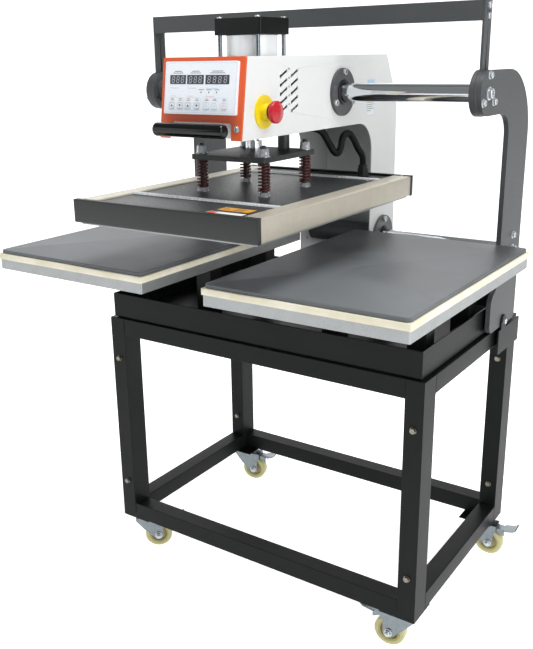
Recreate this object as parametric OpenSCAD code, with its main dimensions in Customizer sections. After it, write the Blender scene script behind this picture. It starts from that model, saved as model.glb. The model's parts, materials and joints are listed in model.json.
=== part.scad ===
// Pneumatic double-station shuttle heat press on a caster stand. Millimetres, +Z up, front towards -Y.

/* [Stand] */
// Width of the stand over its legs
stand_w = 800; // [760:10:820]
// Depth of the stand over its legs
stand_d = 524; // [500:2:560]
// Height of the top of the stand above the floor
stand_top = 624; // [560:2:640]
// Width of a stand tube
leg = 40; // [30:1:45]
// Depth of a stand leg from front to back
leg_d = 54; // [46:1:60]
// Wall of the stand tube
tube_wall = 2; // [1.5:0.5:3]
// Height of the rails at the bottom of the stand
low_rail_h = 40; // [24:1:44]
// Height of the caster's top plate above the floor
caster_h = 95; // [90:1:100]

/* [Base tray and beds] */
// Width of the base tray
tray_w = 782; // [740:2:790]
// Height of the base tray's rim above the floor
tray_top = 682.5; // [670:0.5:700]
// Width of one lower bed
bed_w = 400; // [360:5:400]
// Depth of one lower bed
bed_d = 569; // [500:1:600]
// Gap between the two beds
bed_gap = 146; // [146:1:160]
// Height of the underside of the beds above the floor
bed_z = 784; // [760:1:800]
// Thickness of the cast aluminium bed plate
bed_t = 21; // [15:0.5:24]
// Thickness of the foam pad
foam_t = 12; // [8:0.5:16]
// Thickness of the rubber pad
rubber_t = 8; // [4:0.5:10]

/* [Shafts and arms] */
// Diameter of the upper slide shaft
upper_d = 36; // [30:1:40]
// Diameter of the lower slide shaft
lower_d = 30; // [25:1:36]
// Height of the upper shaft's axis above the floor
upper_z = 1134; // [1120:1:1140]
// Thickness of the side arm plates
arm_t = 10; // [8:1:12]
// Height of the crossbar's top edge above the floor
crossbar_top = 1299; // [1290:1:1310]

/* [Head] */
// Width of the head over its side plates
head_w = 188; // [180:2:190]
// Thickness of the head's sheet
head_t = 2.5; // [2:0.5:3]
// Length of the head's travel to each side
shuttle = 273; // [200:1:273]

/* [Heat platen] */
// Width of the heat platen
platen_w = 420; // [400:2:430]
// Depth of the heat platen
platen_d = 595; // [560:1:610]
// Height of the platen's top rails above the floor with the press open
platen_top = 955; // [950:1:958]
// Height of the platen's housing
platen_h = 42; // [36:1:42]
// Side of the square pattern of the four spring bolts
spring_pitch = 148; // [120:2:150]

/* [Hidden] */

$fn = 64;
eps = 0.01;
gap = 0.3;
fit = 0.05;

// The drawing frame has Y = 0 at the stand's front face; the finished part is centred on its own box.
front_reach = 264;
back_reach = 524;
y_shift = (front_reach - back_reach) / 2;

// Stand
half_w = stand_w / 2;
pad_side = 80;
pad_t = 3;
rail_z = caster_h + pad_t;
vent_r = 5;
bracket_y = 368;
bracket_x = 408;
bracket_t = 4;
bracket_h = 56;
tab_y = 397;
tab_z = 640;
tab_r = 15;
leg_bolt_z = [196, 523];
hex_af = 12;
hex_h = 5;

// Tray
tray_wall = 3;
tray_y = 5;
tray_z = stand_top + 3;
tray_d = stand_d - 2 * tray_y;

// Beds
bed_x = (bed_w + bed_gap) / 2;
bed_y = -241 + bed_d / 2;
foam_over = 2;
foam_z = bed_z + bed_t;
rubber_in = 2;
rubber_z = foam_z + foam_t;
rubber_top = rubber_z + rubber_t;
post = 40;

// Slide shafts, arms and flanges
upper_y = 219;
lower_y = 424;
lower_z = 796;
arm_in = 398;
arm_out = arm_in + arm_t;
hook_r = 42;
arm_front = 348;
arm_back = 474;
arm_foot_front = 313;
arm_foot_z = 630;
arc_out_r = 138;
arc_in_r = 45;
flange_r = 43;
flange_pcd = 66;
flange_t = 9;
boss_r = 28;
boss_t = 5;
upright_t = 5;
upright_w = 35;
bar_h = 36;
bar_t = 4;
bar_fold = 22;
bar_y = upper_y - upright_w / 2;
shaft_half_up = 391;
shaft_half_low = arm_in;
screw_r = 3;
screw_head_r = 6;

// Casters: trail is the wheel's offset from the swivel axis
caster_in = 40;
trail = 28;
wheel_r = 34;
wheel_w = 24;
axle_r = 4;
fork_t = 2.5;
fork_gap = 29;
fork_top = caster_h - 11.5;
pedal_px = 14;
pedal_pz = 75;
caster_angles = [185, 38, 3, 12];
caster_xs = [half_w - caster_in, caster_in - half_w, half_w - caster_in, caster_in - half_w];
caster_ys = [caster_in, caster_in, stand_d - caster_in, stand_d - caster_in];

// Head outline
head_half = head_w / 2;
head_bot = 1064;
head_top = 1208;
head_front_bot = -138;
head_front_top = -117;
arch_y = 300;
col_front = 362;
col_back = 486;
col_bot = 738;
arch_r = col_front - arch_y;
lean = atan((head_front_top - head_front_bot) / (head_top - head_bot));
face_len = (head_top - head_bot) / cos(lean);
bearing_r = 48;
bearing_t = 6;
bearing_pcd = 80;
housing_r = 27;

// Ram, cylinder and spring plate
ram_y = 32;
ram_r = 10;
guide_x = 22;
guide_y = ram_y + 76;
guide_r = 12;
mount_z = 1082;
mount_t = 12;
cap_w = 108;
cap_d = 100;
cap_top = 1277;
cap_h = 30;
low_cap_h = 24;
barrel_r = 49;
barrel_wall = 4;
tie_r = 4;
tie_off = 44;
piston_h = 20;
plate_z = 1016;
plate_t = 10;
plate_w = 173;
plate_d = 184;
spring_bolt_r = 5;
spring_r = 12;
spring_in = 7.5;
nut_h = 8;
nut_af = 17;

// Platen
platen_y = -264 + platen_d / 2;
platen_bot = platen_top - platen_h;
sheet_t = 3;
rail_w = 40;
panel_top = platen_top - 3;
heat_z = 909;
sep_front_y = -140;
sep_back_y = 247;
gland_x = 113;
gland_y = 285;
gland_h = 26;
gland_r = 11;
lead_r = 7.5;

// Control panel, measured on the sloping face: x across, y up the slope, z outwards
bezel_t = 4;
notch_half = 70;
notch_h = 31;
panel_w = 164;
panel_y = 44;
panel_hh = 93;
panel_t = 6;
key_w = 12;
key_h = 11;
key_rise = 1.2;
key_travel = 0.6;
key_y = 59;
key_xs = [-63, -44, -25, -5, 17, 35, 56];
window_xs = [[-70, 37], [-30, 38], [12, 53]];
window_y = 97;
window_h = 16;
led_xs = [3.5, 21, 38.5];
led_y = 83;
handle_r = 12.5;
handle_len = 160;
handle_y = 14;
handle_out = 34;

// Emergency stop on the right side plate
stop_y = -70;
stop_z = 1111;
ring_r = 30;
mushroom_r = 20;
stop_travel = 4;

// Route of the platen's flexible lead, from the head's bush to the gland on the platen
lead_route = [[38, 140, 1082], [39, 142, 1074], [45, 154, 1066], [56, 175, 1062], [64, 190, 1055],
  [69, 199, 1042], [74, 209, 1025], [79, 218, 1011], [83, 226, 1008], [86, 232, 1017], [87.5, 235, 1033],
  [90.5, 241, 1045], [96, 252, 1047], [101.5, 262, 1035], [106.5, 272, 1014], [111, 281, 996],
  [113, 285, 986], [113, 285, 981]];

module place() {
  translate([0, y_shift, 0]) children();
}

// A rectangle centred on the origin with true round corners
module round_rect(w, h, r) {
  square([w - 2 * r, h], center = true);
  square([w, h - 2 * r], center = true);
  for (sx = [-1, 1], sy = [-1, 1]) translate([sx * (w / 2 - r), sy * (h / 2 - r)]) circle(r = r);
}

// A plate lying flat with round corners, its underside at z = 0
module round_plate(w, d, h, r) {
  linear_extrude(height = h) round_rect(w, d, r);
}

// Shapes drawn with x as the part's Y and y as its Z, extruded along +X from x0 to x1
module side_extrude(x0, x1) {
  translate([x0, 0, 0]) rotate([90, 0, 90]) linear_extrude(height = x1 - x0) children();
}

// A cylinder along +X
module x_rod(x0, x1, y, z, r) {
  translate([x0, y, z]) rotate([0, 90, 0]) cylinder(r = r, h = x1 - x0);
}

// A hexagonal prism along +Z
module hex(af, h) {
  cylinder(d = af / cos(30), h = h, $fn = 6);
}

function arc(cy, cz, r, a0, a1, n) = [for (i = [0:n]) let (a = a0 + (a1 - a0) * i / n)
    [cy + r * cos(a), cz + r * sin(a)]];

module both_sides() {
  children();
  mirror([1, 0, 0]) children();
}

// ---------- Stand ----------

// A welded leg frame in the XZ plane: two legs, a top rail and a bottom rail, with caster pads
module leg_frame(pad_y) {
  mid_z = (stand_top + rail_z) / 2;
  difference() {
    union() {
      for (sx = [-1, 1]) translate([sx * (half_w - leg / 2) - leg / 2, 0, rail_z])
        cube([leg, leg_d, stand_top - rail_z]);
      for (r = [[stand_top - leg, leg], [rail_z, low_rail_h]]) translate([1 - half_w, 0, r[0]])
        cube([stand_w - 2, leg, r[1]]);
      for (sx = [-1, 1])
        translate([sx * (half_w - pad_side / 2) - pad_side / 2, pad_y, caster_h])
          cube([pad_side, pad_side, pad_t]);
    }
    for (sx = [-1, 1]) translate([sx * (half_w - leg / 2), leg_d / 2, mid_z])
      cube([leg - 2 * tube_wall, leg_d - 2 * tube_wall, stand_top - rail_z - 2 * tube_wall], center = true);
    for (z = [stand_top - leg / 2, rail_z + low_rail_h / 2])
      translate([0, leg / 2, z])
        cube([stand_w - leg, leg - 2 * tube_wall, leg - 2 * tube_wall - 2], center = true);
    for (sx = [-1, 1]) translate([sx * (half_w - leg / 2), leg_d / 2, caster_h - 1])
      cylinder(r = vent_r, h = pad_t + 4);
  }
}

module front_frame() {
  color("#222424") place() leg_frame(0);
}

// Bracket that ties the rear leg to the tray and the arm's foot, with a round tab at its front
module tie_bracket() {
  side_extrude(bracket_x, bracket_x + bracket_t) difference() {
    union() {
      translate([bracket_y, stand_top - bracket_h]) square([stand_d - leg - bracket_y + 20, bracket_h]);
      translate([tab_y - tab_r, stand_top - bracket_h]) square([2 * tab_r, tab_z - stand_top + bracket_h]);
      translate([tab_y, tab_z]) circle(r = tab_r);
    }
    translate([tab_y, tab_z]) circle(r = screw_r + 0.3);
  }
  translate([half_w, bracket_y + 30, stand_top - bracket_h])
    cube([bracket_x - half_w + eps, stand_d - leg - bracket_y - 10, bracket_h - 2]);
  translate([half_w - eps, stand_d - leg + 1, stand_top - bracket_h])
    cube([1, 18, bracket_h - 2]);
}

module rear_frame() {
  color("#222424") place() {
    translate([0, stand_d, 0]) mirror([0, 1, 0]) leg_frame(0);
    both_sides() tie_bracket();
  }
}

module side_rails() {
  len = stand_d - 2 * leg_d;
  color("#2a2c2c") place() for (sx = [-1, 1], r = [[stand_top - leg, leg], [rail_z, low_rail_h]])
    translate([sx * (half_w - leg / 2), leg_d + len / 2, r[0] + r[1] / 2]) difference() {
      cube([leg, len, r[1]], center = true);
      cube([leg - 2 * tube_wall, len + 2, r[1] - 2 * tube_wall], center = true);
    }
}

// Socket screw along +X with its head outside and its shank inwards
module side_screw(x, y, z, shank, r, head_r, head_h) {
  x_rod(x - shank, x, y, z, r);
  x_rod(x, x + head_h, y, z, head_r);
}

module fasteners() {
  color("#b9bcbe") place() {
    for (sx = [-1, 1], z = leg_bolt_z, f = [0, 1]) {
      y = f == 0 ? 0 : stand_d - leg_d;
      translate([sx * (half_w - leg / 2), y, z]) rotate([90, 0, 0]) hex(hex_af, hex_h);
    }
    both_sides() {
      for (a = [90, 210, 330]) {
        side_screw(arm_out, upper_y + flange_pcd / 2 * cos(a), upper_z + flange_pcd / 2 * sin(a),
          arm_t + upright_t + 4, screw_r, screw_head_r, 5);
        side_screw(arm_out, lower_y + flange_pcd / 2 * cos(a), lower_z + flange_pcd / 2 * sin(a),
          arm_t + 4, screw_r, screw_head_r, 5);
      }
      side_screw(arm_out, upper_y, upper_z, arm_t + upright_t - 0.5, 5, 9.5, 7);
      side_screw(arm_out, lower_y, lower_z, arm_t - 0.5, 5, 9.5, 7);
      side_screw(bracket_x + bracket_t, tab_y, tab_z, bracket_t + 6, screw_r, 6, 5);
      for (z = [crossbar_top - 9, crossbar_top - 27])
        side_screw(arm_in, upper_y, z, upright_t - 0.5, screw_r, screw_head_r, 3.5);
    }
  }
}

module base_tray() {
  color("#1f2121") place() {
    difference() {
      translate([-tray_w / 2, tray_y, tray_z]) cube([tray_w, tray_d, tray_top - tray_z]);
      translate([tray_wall - tray_w / 2, tray_y + tray_wall, tray_z + tray_wall])
        cube([tray_w - 2 * tray_wall, tray_d - 2 * tray_wall, tray_top]);
    }
    for (sx = [-1, 1], y = [leg / 2 + 4, stand_d - leg / 2 - 4])
      translate([sx * (half_w - leg / 2 - 4) - 12, y - 12, stand_top]) cube([24, 24, tray_z - stand_top]);
  }
}

// Four posts and two cross-members hold each bed above the tray
module bed_supports() {
  floor_z = tray_z + tray_wall;
  color("#1c1d1d") place() both_sides() for (y = [60, 280]) {
    translate([bed_x - 130, y, bed_z - post]) cube([260, post, post]);
    for (x = [bed_x - 130, bed_x + 60]) translate([x, y, floor_z]) cube([post, post, bed_z - floor_z - post / 2]);
  }
}

module bed_plates() {
  color("#a9abac") place() for (sx = [-1, 1]) translate([sx * bed_x, bed_y, bed_z])
    round_plate(bed_w, bed_d, bed_t, 3);
}

module foam_pads() {
  color("#e6dcb4") place() for (sx = [-1, 1]) translate([sx * bed_x, bed_y, foam_z])
    round_plate(bed_w + 2 * foam_over, bed_d + 2 * foam_over, foam_t, 2);
}

module rubber_pads() {
  color("#55585a") place() for (sx = [-1, 1]) translate([sx * bed_x, bed_y, rubber_z])
    round_plate(bed_w - 2 * rubber_in, bed_d - 2 * rubber_in, rubber_t, 9);
}

// ---------- Arms, shafts and crossbar ----------

// Outline of a side arm: a hook round the upper shaft, a bent column and an S-curved foot
function arm_outline() = concat(
    arc(upper_y, upper_z, hook_r, 90, 270, 20),
    arc(arm_front - arc_in_r, upper_z - hook_r - arc_in_r, arc_in_r, 90, 0, 8),
    [[arm_front, 752]],
    arc(arm_front - 30, 746, 30, 0, -50, 5),
    arc(arm_foot_front + 25, 694, 25, 130, 180, 5),
    arc(arm_foot_front + 18, arm_foot_z + 18, 18, 180, 270, 5),
    arc(arm_back - 12, arm_foot_z + 12, 12, 270, 360, 4),
    arc(arm_back - arc_out_r, upper_z + hook_r - arc_out_r, arc_out_r, 0, 90, 14));

module shaft_holes(y, z) {
  for (a = [90, 210, 330]) translate([y + flange_pcd / 2 * cos(a), z + flange_pcd / 2 * sin(a)])
    circle(r = screw_r + 0.2);
  translate([y, z]) circle(r = 5.2);
}

module arm() {
  side_extrude(arm_in, arm_out) difference() {
    polygon(arm_outline());
    shaft_holes(upper_y, upper_z);
    shaft_holes(lower_y, lower_z);
    translate([tab_y, tab_z]) circle(r = screw_r + 0.2);
  }
  translate([tray_w / 2, arm_foot_front + 30, arm_foot_z + 6])
    cube([arm_in - tray_w / 2 + eps, 110, tray_top - arm_foot_z - 12]);
}

module left_arm() {
  color("#5e6163") place() mirror([1, 0, 0]) arm();
}

module right_arm() {
  color("#5e6163") place() arm();
}

module crossbar() {
  reach = arm_in - upright_t;
  color("#5e6163") place() {
    translate([-reach, bar_y, crossbar_top - bar_h]) cube([2 * reach, bar_t, bar_h]);
    translate([-reach, bar_y, crossbar_top - bar_t]) cube([2 * reach, bar_fold, bar_t]);
    for (sx = [-1, 1]) translate([sx * (reach - bar_t / 2) - bar_t / 2, bar_y, crossbar_top - bar_h])
      cube([bar_t, upright_w - 2, bar_h]);
  }
}

// Flat uprights that carry the crossbar; their round feet are clamped between arm and flange
module crossbar_uprights() {
  color("#6a6d6f") place() both_sides() side_extrude(arm_in - upright_t, arm_in) difference() {
    union() {
      translate([upper_y, upper_z]) circle(r = flange_r);
      translate([upper_y - upright_w / 2, upper_z]) square([upright_w, crossbar_top - upper_z]);
    }
    shaft_holes(upper_y, upper_z);
    for (z = [crossbar_top - 9, crossbar_top - 27]) translate([upper_y, z]) circle(r = screw_r + 0.2);
  }
}

// Stepped flange: a disc against the arm and a smaller boss round the shaft
module shaft_flange(x1, y, z, r) {
  side_extrude(x1 - flange_t, x1) difference() {
    translate([y, z]) circle(r = flange_r);
    translate([y, z]) circle(r = r);
    for (a = [90, 210, 330]) translate([y + flange_pcd / 2 * cos(a), z + flange_pcd / 2 * sin(a)])
      circle(r = screw_r + 0.2);
  }
  side_extrude(x1 - flange_t - boss_t, x1 - flange_t) difference() {
    translate([y, z]) circle(r = boss_r);
    translate([y, z]) circle(r = r);
  }
}

module shaft_flanges() {
  color("#5a5d5f") place() both_sides() {
    shaft_flange(arm_in - upright_t, upper_y, upper_z, upper_d / 2);
    shaft_flange(arm_in, lower_y, lower_z, lower_d / 2);
  }
}

module slide_shafts() {
  up_half = arm_in - upright_t;
  color("#d5d8da") place() {
    x_rod(-up_half, up_half, upper_y, upper_z, upper_d / 2);
    x_rod(-arm_in, arm_in, lower_y, lower_z, lower_d / 2);
  }
}

// ---------- Casters ----------

module at_caster(i) {
  translate([caster_xs[i], caster_ys[i], 0]) rotate([0, 0, caster_angles[i]]) children();
}

module caster_plates() {
  color("#b4b8ba") place() for (i = [0:3]) translate([caster_xs[i], caster_ys[i], 0]) {
    translate([0, 0, caster_h - 3]) round_plate(62, 62, 3, 6);
    translate([0, 0, fork_top + gap]) cylinder(r = 21, h = caster_h - 3 - fork_top - gap);
  }
}

// Fork: a cap under the race, two cheeks down to the axle, the axle and the pedal's pivot pin
module fork(i) {
  cheek_y = fork_gap / 2;
  color("#a9adb0") place() at_caster(i) {
    translate([0, 0, fork_top - 4]) cylinder(r = 23, h = 4);
    for (s = [-1, 1]) translate([0, s * (cheek_y + fork_t / 2) + fork_t / 2, 0]) rotate([90, 0, 0])
      linear_extrude(height = fork_t) polygon(concat(
        [[-28, fork_top - 3], [-28, 77], [-7, 52]],
        arc(trail, wheel_r, 12.5, 215, 360, 10),
        [[40.5, 63], [46, 67], [46, fork_top - 3]]));
    translate([-28, -fork_gap / 2 - fork_t, fork_top - 4]) cube([74, fork_gap + 2 * fork_t, 4]);
    translate([trail, fork_gap / 2 + fork_t + 3, wheel_r]) rotate([90, 0, 0])
      cylinder(r = axle_r, h = fork_gap + 2 * fork_t + 6);
    for (s = [-1, 1]) translate([trail, s * (fork_gap / 2 + fork_t + 2) + 2, wheel_r]) rotate([90, 0, 0])
      hex(13, 4);
    translate([pedal_px, fork_gap / 2 + 1, pedal_pz]) rotate([90, 0, 0]) cylinder(r = 2, h = fork_gap + 2);
  }
}

// Wheel: tread with round shoulders, a web and a hub, bored to run on the axle
module wheel(i) {
  half = wheel_w / 2;
  color("#c9c48f") place() at_caster(i) translate([trail, 0, wheel_r]) rotate([90, 0, 0])
    rotate_extrude($fn = 72) difference() {
      union() {
        translate([wheel_r - 12, -half]) square([9, wheel_w]);
        translate([wheel_r - 4, -half + 3]) square([4, wheel_w - 6]);
        for (s = [-1, 1]) translate([wheel_r - 3, s * (half - 3)]) circle(r = 3, $fn = 24);
        translate([axle_r + fit, -5]) square([wheel_r - 14, 10]);
        translate([axle_r + fit, -13.5]) square([6, 27]);
      }
      translate([-1, -half - 5]) square([axle_r + fit + 1, wheel_w + 10]);
    }
}

// Brake pedal: two flanges on the pivot pin joined by a web, and a foot plate turned up at its end
module pedal(i) {
  color("#b7bbbd") place() at_caster(i) difference() {
    union() {
      for (s = [-1, 1]) translate([0, s * 10.75 + 1.25, 0]) rotate([90, 0, 0]) linear_extrude(height = 2.5)
        union() {
          translate([pedal_px, pedal_pz]) circle(r = 3.6);
          polygon([[pedal_px, 71.8], [44, 70], [50, 67], [58, 63.5], [66, 60], [66, 77], [40, 78.2],
            [pedal_px, 78.2]]);
        }
      translate([0, 11, 0]) rotate([90, 0, 0]) linear_extrude(height = 22)
        polygon([[22, 76], [40, 76], [66, 74.6], [66, 77], [40, 78.2], [22, 78.2]]);
      translate([0, 17, 0]) rotate([90, 0, 0]) linear_extrude(height = 34)
        polygon([[62, 74.4], [88, 79.6], [95, 85.4], [93, 87.6], [86, 82], [62, 77]]);
    }
    translate([pedal_px, 20, pedal_pz]) rotate([90, 0, 0]) cylinder(r = 2 + fit, h = 40);
  }
}

module fork_fr() { fork(0); }
module fork_fl() { fork(1); }
module fork_rr() { fork(2); }
module fork_rl() { fork(3); }
module wheel_fr() { wheel(0); }
module wheel_fl() { wheel(1); }
module wheel_rr() { wheel(2); }
module wheel_rl() { wheel(3); }
module pedal_fr() { pedal(0); }
module pedal_fl() { pedal(1); }
module pedal_rr() { pedal(2); }
module pedal_rl() { pedal(3); }

// ---------- Head ----------

// Side outline of the head: a beam over the platen, an arch, and a column down to the lower shaft
function head_outline() = concat(
    [[head_front_bot, head_bot], [arch_y, head_bot]],
    arc(arch_y, head_bot - arch_r, arch_r, 90, 0, 12),
    [[col_front, col_bot], [col_back, col_bot], [col_back, 1090], [460, 1150], [428, head_top],
    [head_front_top, head_top]]);

// Slanted slots in rows with a round hole at each end, cut through both side plates
module vent_pattern() {
  for (row = [0:4], col = [0:1]) translate([-2 + col * 38, 1112 + row * 16]) {
    rotate(25) square([22, 5], center = true);
    for (s = [-1, 1]) translate([s * 11 * cos(25), s * 11 * sin(25)]) circle(r = 3.3);
  }
  for (row = [0:4]) translate([17, 1120 + row * 16]) circle(r = 2.5);
}

module head_shell() {
  color("#e4e6e5") place() difference() {
    side_extrude(-head_half, head_half) polygon(head_outline());
    side_extrude(head_t - head_half, head_half - head_t)
      translate([-400, 0]) square([1200, head_top - head_t]);
    side_extrude(-head_half - 1, head_half + 1) {
      translate([upper_y, upper_z]) circle(r = housing_r + 0.2);
      translate([lower_y, lower_z]) circle(r = housing_r + 0.2);
      for (a = [90, 210, 330], s = [[upper_y, upper_z], [lower_y, lower_z]])
        translate([s[0] + bearing_pcd / 2 * cos(a), s[1] + bearing_pcd / 2 * sin(a)]) circle(r = 3.2);
      vent_pattern();
    }
    translate([0, stop_y, stop_z]) rotate([0, 90, 0]) cylinder(r = 11.2, h = head_half + 1);
    translate([-cap_w / 2 - 1, ram_y - cap_d / 2 - 1, head_top - 10]) cube([cap_w + 2, cap_d + 2, 20]);
  }
}

// Folded back cover between the side plates, following the sloping shoulder and the column
module head_rear_cover() {
  w = head_half - head_t - 0.2;
  color("#dfe1e0") place() difference() {
    side_extrude(-w, w) polygon([[424, 1205.2], [456, 1148.5], [482, 1089], [482, col_bot], [485, col_bot],
        [485, 1090], [459, 1150], [428, 1205.2]]);
    translate([40, 470, 900]) rotate([-90, 0, 0]) cylinder(r = 6.2, h = 30);
    translate([-54, 470, 882]) cube([28, 30, 20]);
  }
}

module ram_mount() {
  w = head_half - head_t;
  color("#8d9092") place() difference() {
    translate([-w, ram_y - 72, mount_z]) cube([2 * w, 190, mount_t]);
    translate([0, ram_y, mount_z - 1]) cylinder(r = ram_r + 1, h = mount_t + 2);
    translate([guide_x, guide_y, mount_z - 1]) cylinder(r = guide_r + fit, h = mount_t + 2);
    translate([lead_route[0][0], lead_route[0][1], mount_z - 1]) cylinder(r = lead_r + 1, h = mount_t + 2);
  }
}

// One long bearing housing per shaft with a screwed flange at each side of the head
module shaft_bearing(y, z, bore_r) {
  difference() {
    union() {
      x_rod(-head_half, head_half, y, z, housing_r);
      both_sides() x_rod(head_half, head_half + bearing_t, y, z, bearing_r);
      both_sides() for (a = [90, 210, 330])
        x_rod(head_half + bearing_t - eps, head_half + bearing_t + 3, y + bearing_pcd / 2 * cos(a),
          z + bearing_pcd / 2 * sin(a), screw_head_r);
    }
    x_rod(-head_half - 20, head_half + 20, y, z, bore_r);
  }
}

module shaft_bearings() {
  color("#4b4e50") place() {
    shaft_bearing(upper_y, upper_z, upper_d / 2 + fit);
    shaft_bearing(lower_y, lower_z, lower_d / 2 + fit);
  }
}

// Everything on the sloping front face is drawn on its own plane
module on_face() {
  translate([0, head_front_bot, head_bot]) rotate([90 - lean, 0, 0]) children();
}

// Orange bezel plate with an open notch, on a white backing sheet with folded sides
module control_bezel() {
  color("#dd5f33") place() on_face() {
    difference() {
      linear_extrude(height = bezel_t) difference() {
        translate([0, face_len / 2]) round_rect(head_w, face_len, 3);
        translate([0, 0]) round_rect(2 * notch_half, 2 * notch_h, 8);
        for (sx = [-1, 1]) translate([sx * 82, 20]) circle(r = screw_r + 0.2);
      }
    }
    translate([-head_half + head_t + 0.2, 4, -2]) cube([head_w - 2 * head_t - 0.4, face_len - 12, 2]);
    for (sx = [-1, 1]) translate([sx * 82, 20, 0]) {
      translate([0, 0, 0]) cylinder(r = screw_r, h = bezel_t);
      translate([0, 0, bezel_t]) cylinder(r = 4.5, h = 3);
    }
  }
}

module membrane_panel() {
  color("#e9edf5") place() on_face() difference() {
    translate([0, panel_y + panel_hh / 2, bezel_t]) round_plate(panel_w, panel_hh, panel_t, 2.5);
    for (x = key_xs) translate([x, key_y, bezel_t + panel_t - 3]) round_plate(key_w + 1, key_h + 1, 10, 3);
    for (w = window_xs) translate([w[0], window_y, bezel_t + panel_t - 2]) cube([w[1], window_h, 10]);
  }
}

module display_windows() {
  color("#2a2d33") place() on_face() for (w = window_xs)
    translate([w[0], window_y, bezel_t + panel_t - 2]) cube([w[1], window_h, 2.4]);
}

// Push keys in the membrane panel; each stands proud by key_rise and has room below to travel
module key(i) {
  color("#f2f4f7") place() on_face() translate([key_xs[i], key_y, bezel_t + panel_t - 3 + key_travel + gap])
    round_plate(key_w, key_h, 3 - key_travel - gap + key_rise, 2.5);
}

module key_1() { key(0); }
module key_2() { key(1); }
module key_3() { key(2); }
module key_4() { key(3); }
module key_5() { key(4); }
module key_6() { key(5); }
module key_7() { key(6); }

// Round bar on two short posts that pass through the notch to the backing sheet
module handle_bar() {
  half = handle_len / 2;
  color("#121313") place() on_face() {
    translate([-half, handle_y, handle_out]) rotate([0, 90, 0]) rotate_extrude() union() {
      translate([0, 3]) square([handle_r, handle_len - 6]);
      square([handle_r - 3, handle_len]);
      for (y = [3, handle_len - 3]) translate([handle_r - 3, y]) circle(r = 3, $fn = 24);
    }
    for (sx = [-1, 1]) translate([sx * 50, handle_y, 0]) cylinder(r = 7, h = handle_out);
  }
}

module e_stop_ring() {
  color("#e8d83a") place() difference() {
    union() {
      x_rod(head_half, head_half + 3, stop_y, stop_z, ring_r);
      x_rod(head_half, head_half + 16, stop_y, stop_z, 15);
      x_rod(head_half - 22, head_half, stop_y, stop_z, 11);
    }
    x_rod(head_half - 14, head_half + 20, stop_y, stop_z, 8.2);
  }
}

// Mushroom head and stem; the stem slides in the yellow collar
module e_stop_button() {
  color("#cf2f3c") place() {
    x_rod(head_half - 4, head_half + 21, stop_y, stop_z, 8);
    translate([head_half + 21, stop_y, stop_z]) rotate([0, 90, 0]) rotate_extrude() union() {
      square([mushroom_r, 9]);
      translate([0, 9]) square([mushroom_r - 4, 4]);
      translate([mushroom_r - 4, 9]) circle(r = 4, $fn = 24);
    }
  }
}

// ---------- Cylinder and ram ----------

module cylinder_caps() {
  low_z = mount_z + mount_t;
  color("#1a1b1b") place() {
    translate([0, ram_y, cap_top - cap_h]) round_plate(cap_w, cap_d, cap_h, 4);
    difference() {
      translate([0, ram_y, low_z]) round_plate(cap_w, cap_d, low_cap_h, 4);
      translate([0, ram_y, low_z - 1]) cylinder(r = ram_r + fit, h = low_cap_h + 2);
    }
  }
}

module cylinder_barrel() {
  z0 = mount_z + mount_t + low_cap_h;
  color("#dfe3e3") place() translate([0, ram_y, z0]) difference() {
    cylinder(r = barrel_r, h = cap_top - cap_h - z0);
    translate([0, 0, -1]) cylinder(r = barrel_r - barrel_wall, h = 300);
  }
}

module tie_rods() {
  z0 = mount_z + mount_t + low_cap_h;
  color("#c9cccd") place() for (sx = [-1, 1], sy = [-1, 1])
    translate([sx * tie_off, ram_y + sy * tie_off, z0]) cylinder(r = tie_r, h = cap_top - cap_h - z0);
}

// Push-in air fitting and panel-mount power inlet on the back cover
module rear_inlets() {
  color("#26282a") place() {
    translate([40, 478, 900]) rotate([-90, 0, 0]) difference() {
      union() {
        cylinder(r = 6, h = 7);
        translate([0, 0, 7]) cylinder(r = 9, h = 12);
      }
      translate([0, 0, 3]) cylinder(r = 4, h = 20);
    }
    translate([-54 + 0.3, 470, 882.3]) cube([27.4, 15, 19.4]);
    translate([-60, 485, 874]) difference() {
      cube([40, 3, 36]);
      translate([9, 1, 9]) cube([22, 3, 17]);
    }
  }
}

module ram_rod() {
  piston_z = 1222;
  color("#cfd2d4") place() translate([0, ram_y, 0]) {
    translate([0, 0, plate_z + plate_t]) cylinder(r = ram_r, h = piston_z - plate_z - plate_t);
    translate([0, 0, piston_z]) cylinder(r = barrel_r - barrel_wall - gap, h = piston_h);
    translate([0, 0, plate_z + plate_t]) cylinder(r = 16, h = 22);
  }
}

// Guide rod on the spring plate, with its end nut under the plate
module guide_rod() {
  color("#2b2d2f") place() translate([guide_x, guide_y, plate_z]) {
    translate([0, 0, plate_t]) cylinder(r = guide_r, h = 170);
    translate([0, 0, -12]) cylinder(r = guide_r - 3.5, h = 12);
  }
}

module at_springs() {
  for (sx = [-1, 1], sy = [-1, 1])
    translate([sx * spring_pitch / 2, ram_y + sy * spring_pitch / 2, 0]) children();
}

module spring_plate() {
  color("#202222") place() difference() {
    translate([0, ram_y, plate_z]) round_plate(plate_w, plate_d, plate_t, 3);
    at_springs() translate([0, 0, plate_z - 1]) cylinder(r = spring_bolt_r + 0.5, h = plate_t + 2);
  }
}

module platen_springs() {
  z0 = platen_top + nut_h - 3;
  color("#4a1f1c") place() at_springs() translate([0, 0, z0]) difference() {
    cylinder(r = spring_r, h = plate_z - z0);
    translate([0, 0, -1]) cylinder(r = spring_in, h = 200);
  }
}

// ---------- Heat platen ----------

module heat_plate() {
  color("#b9bbbc") place() difference() {
    translate([0, platen_y, heat_z]) round_plate(platen_w - 14, platen_d - 14, 16, 6);
    for (sx = [-1, 1], y = [-200, 0, 200])
      translate([sx * 130, platen_y + y, heat_z + 12]) cylinder(r = 3.3, h = 10);
  }
}

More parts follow.
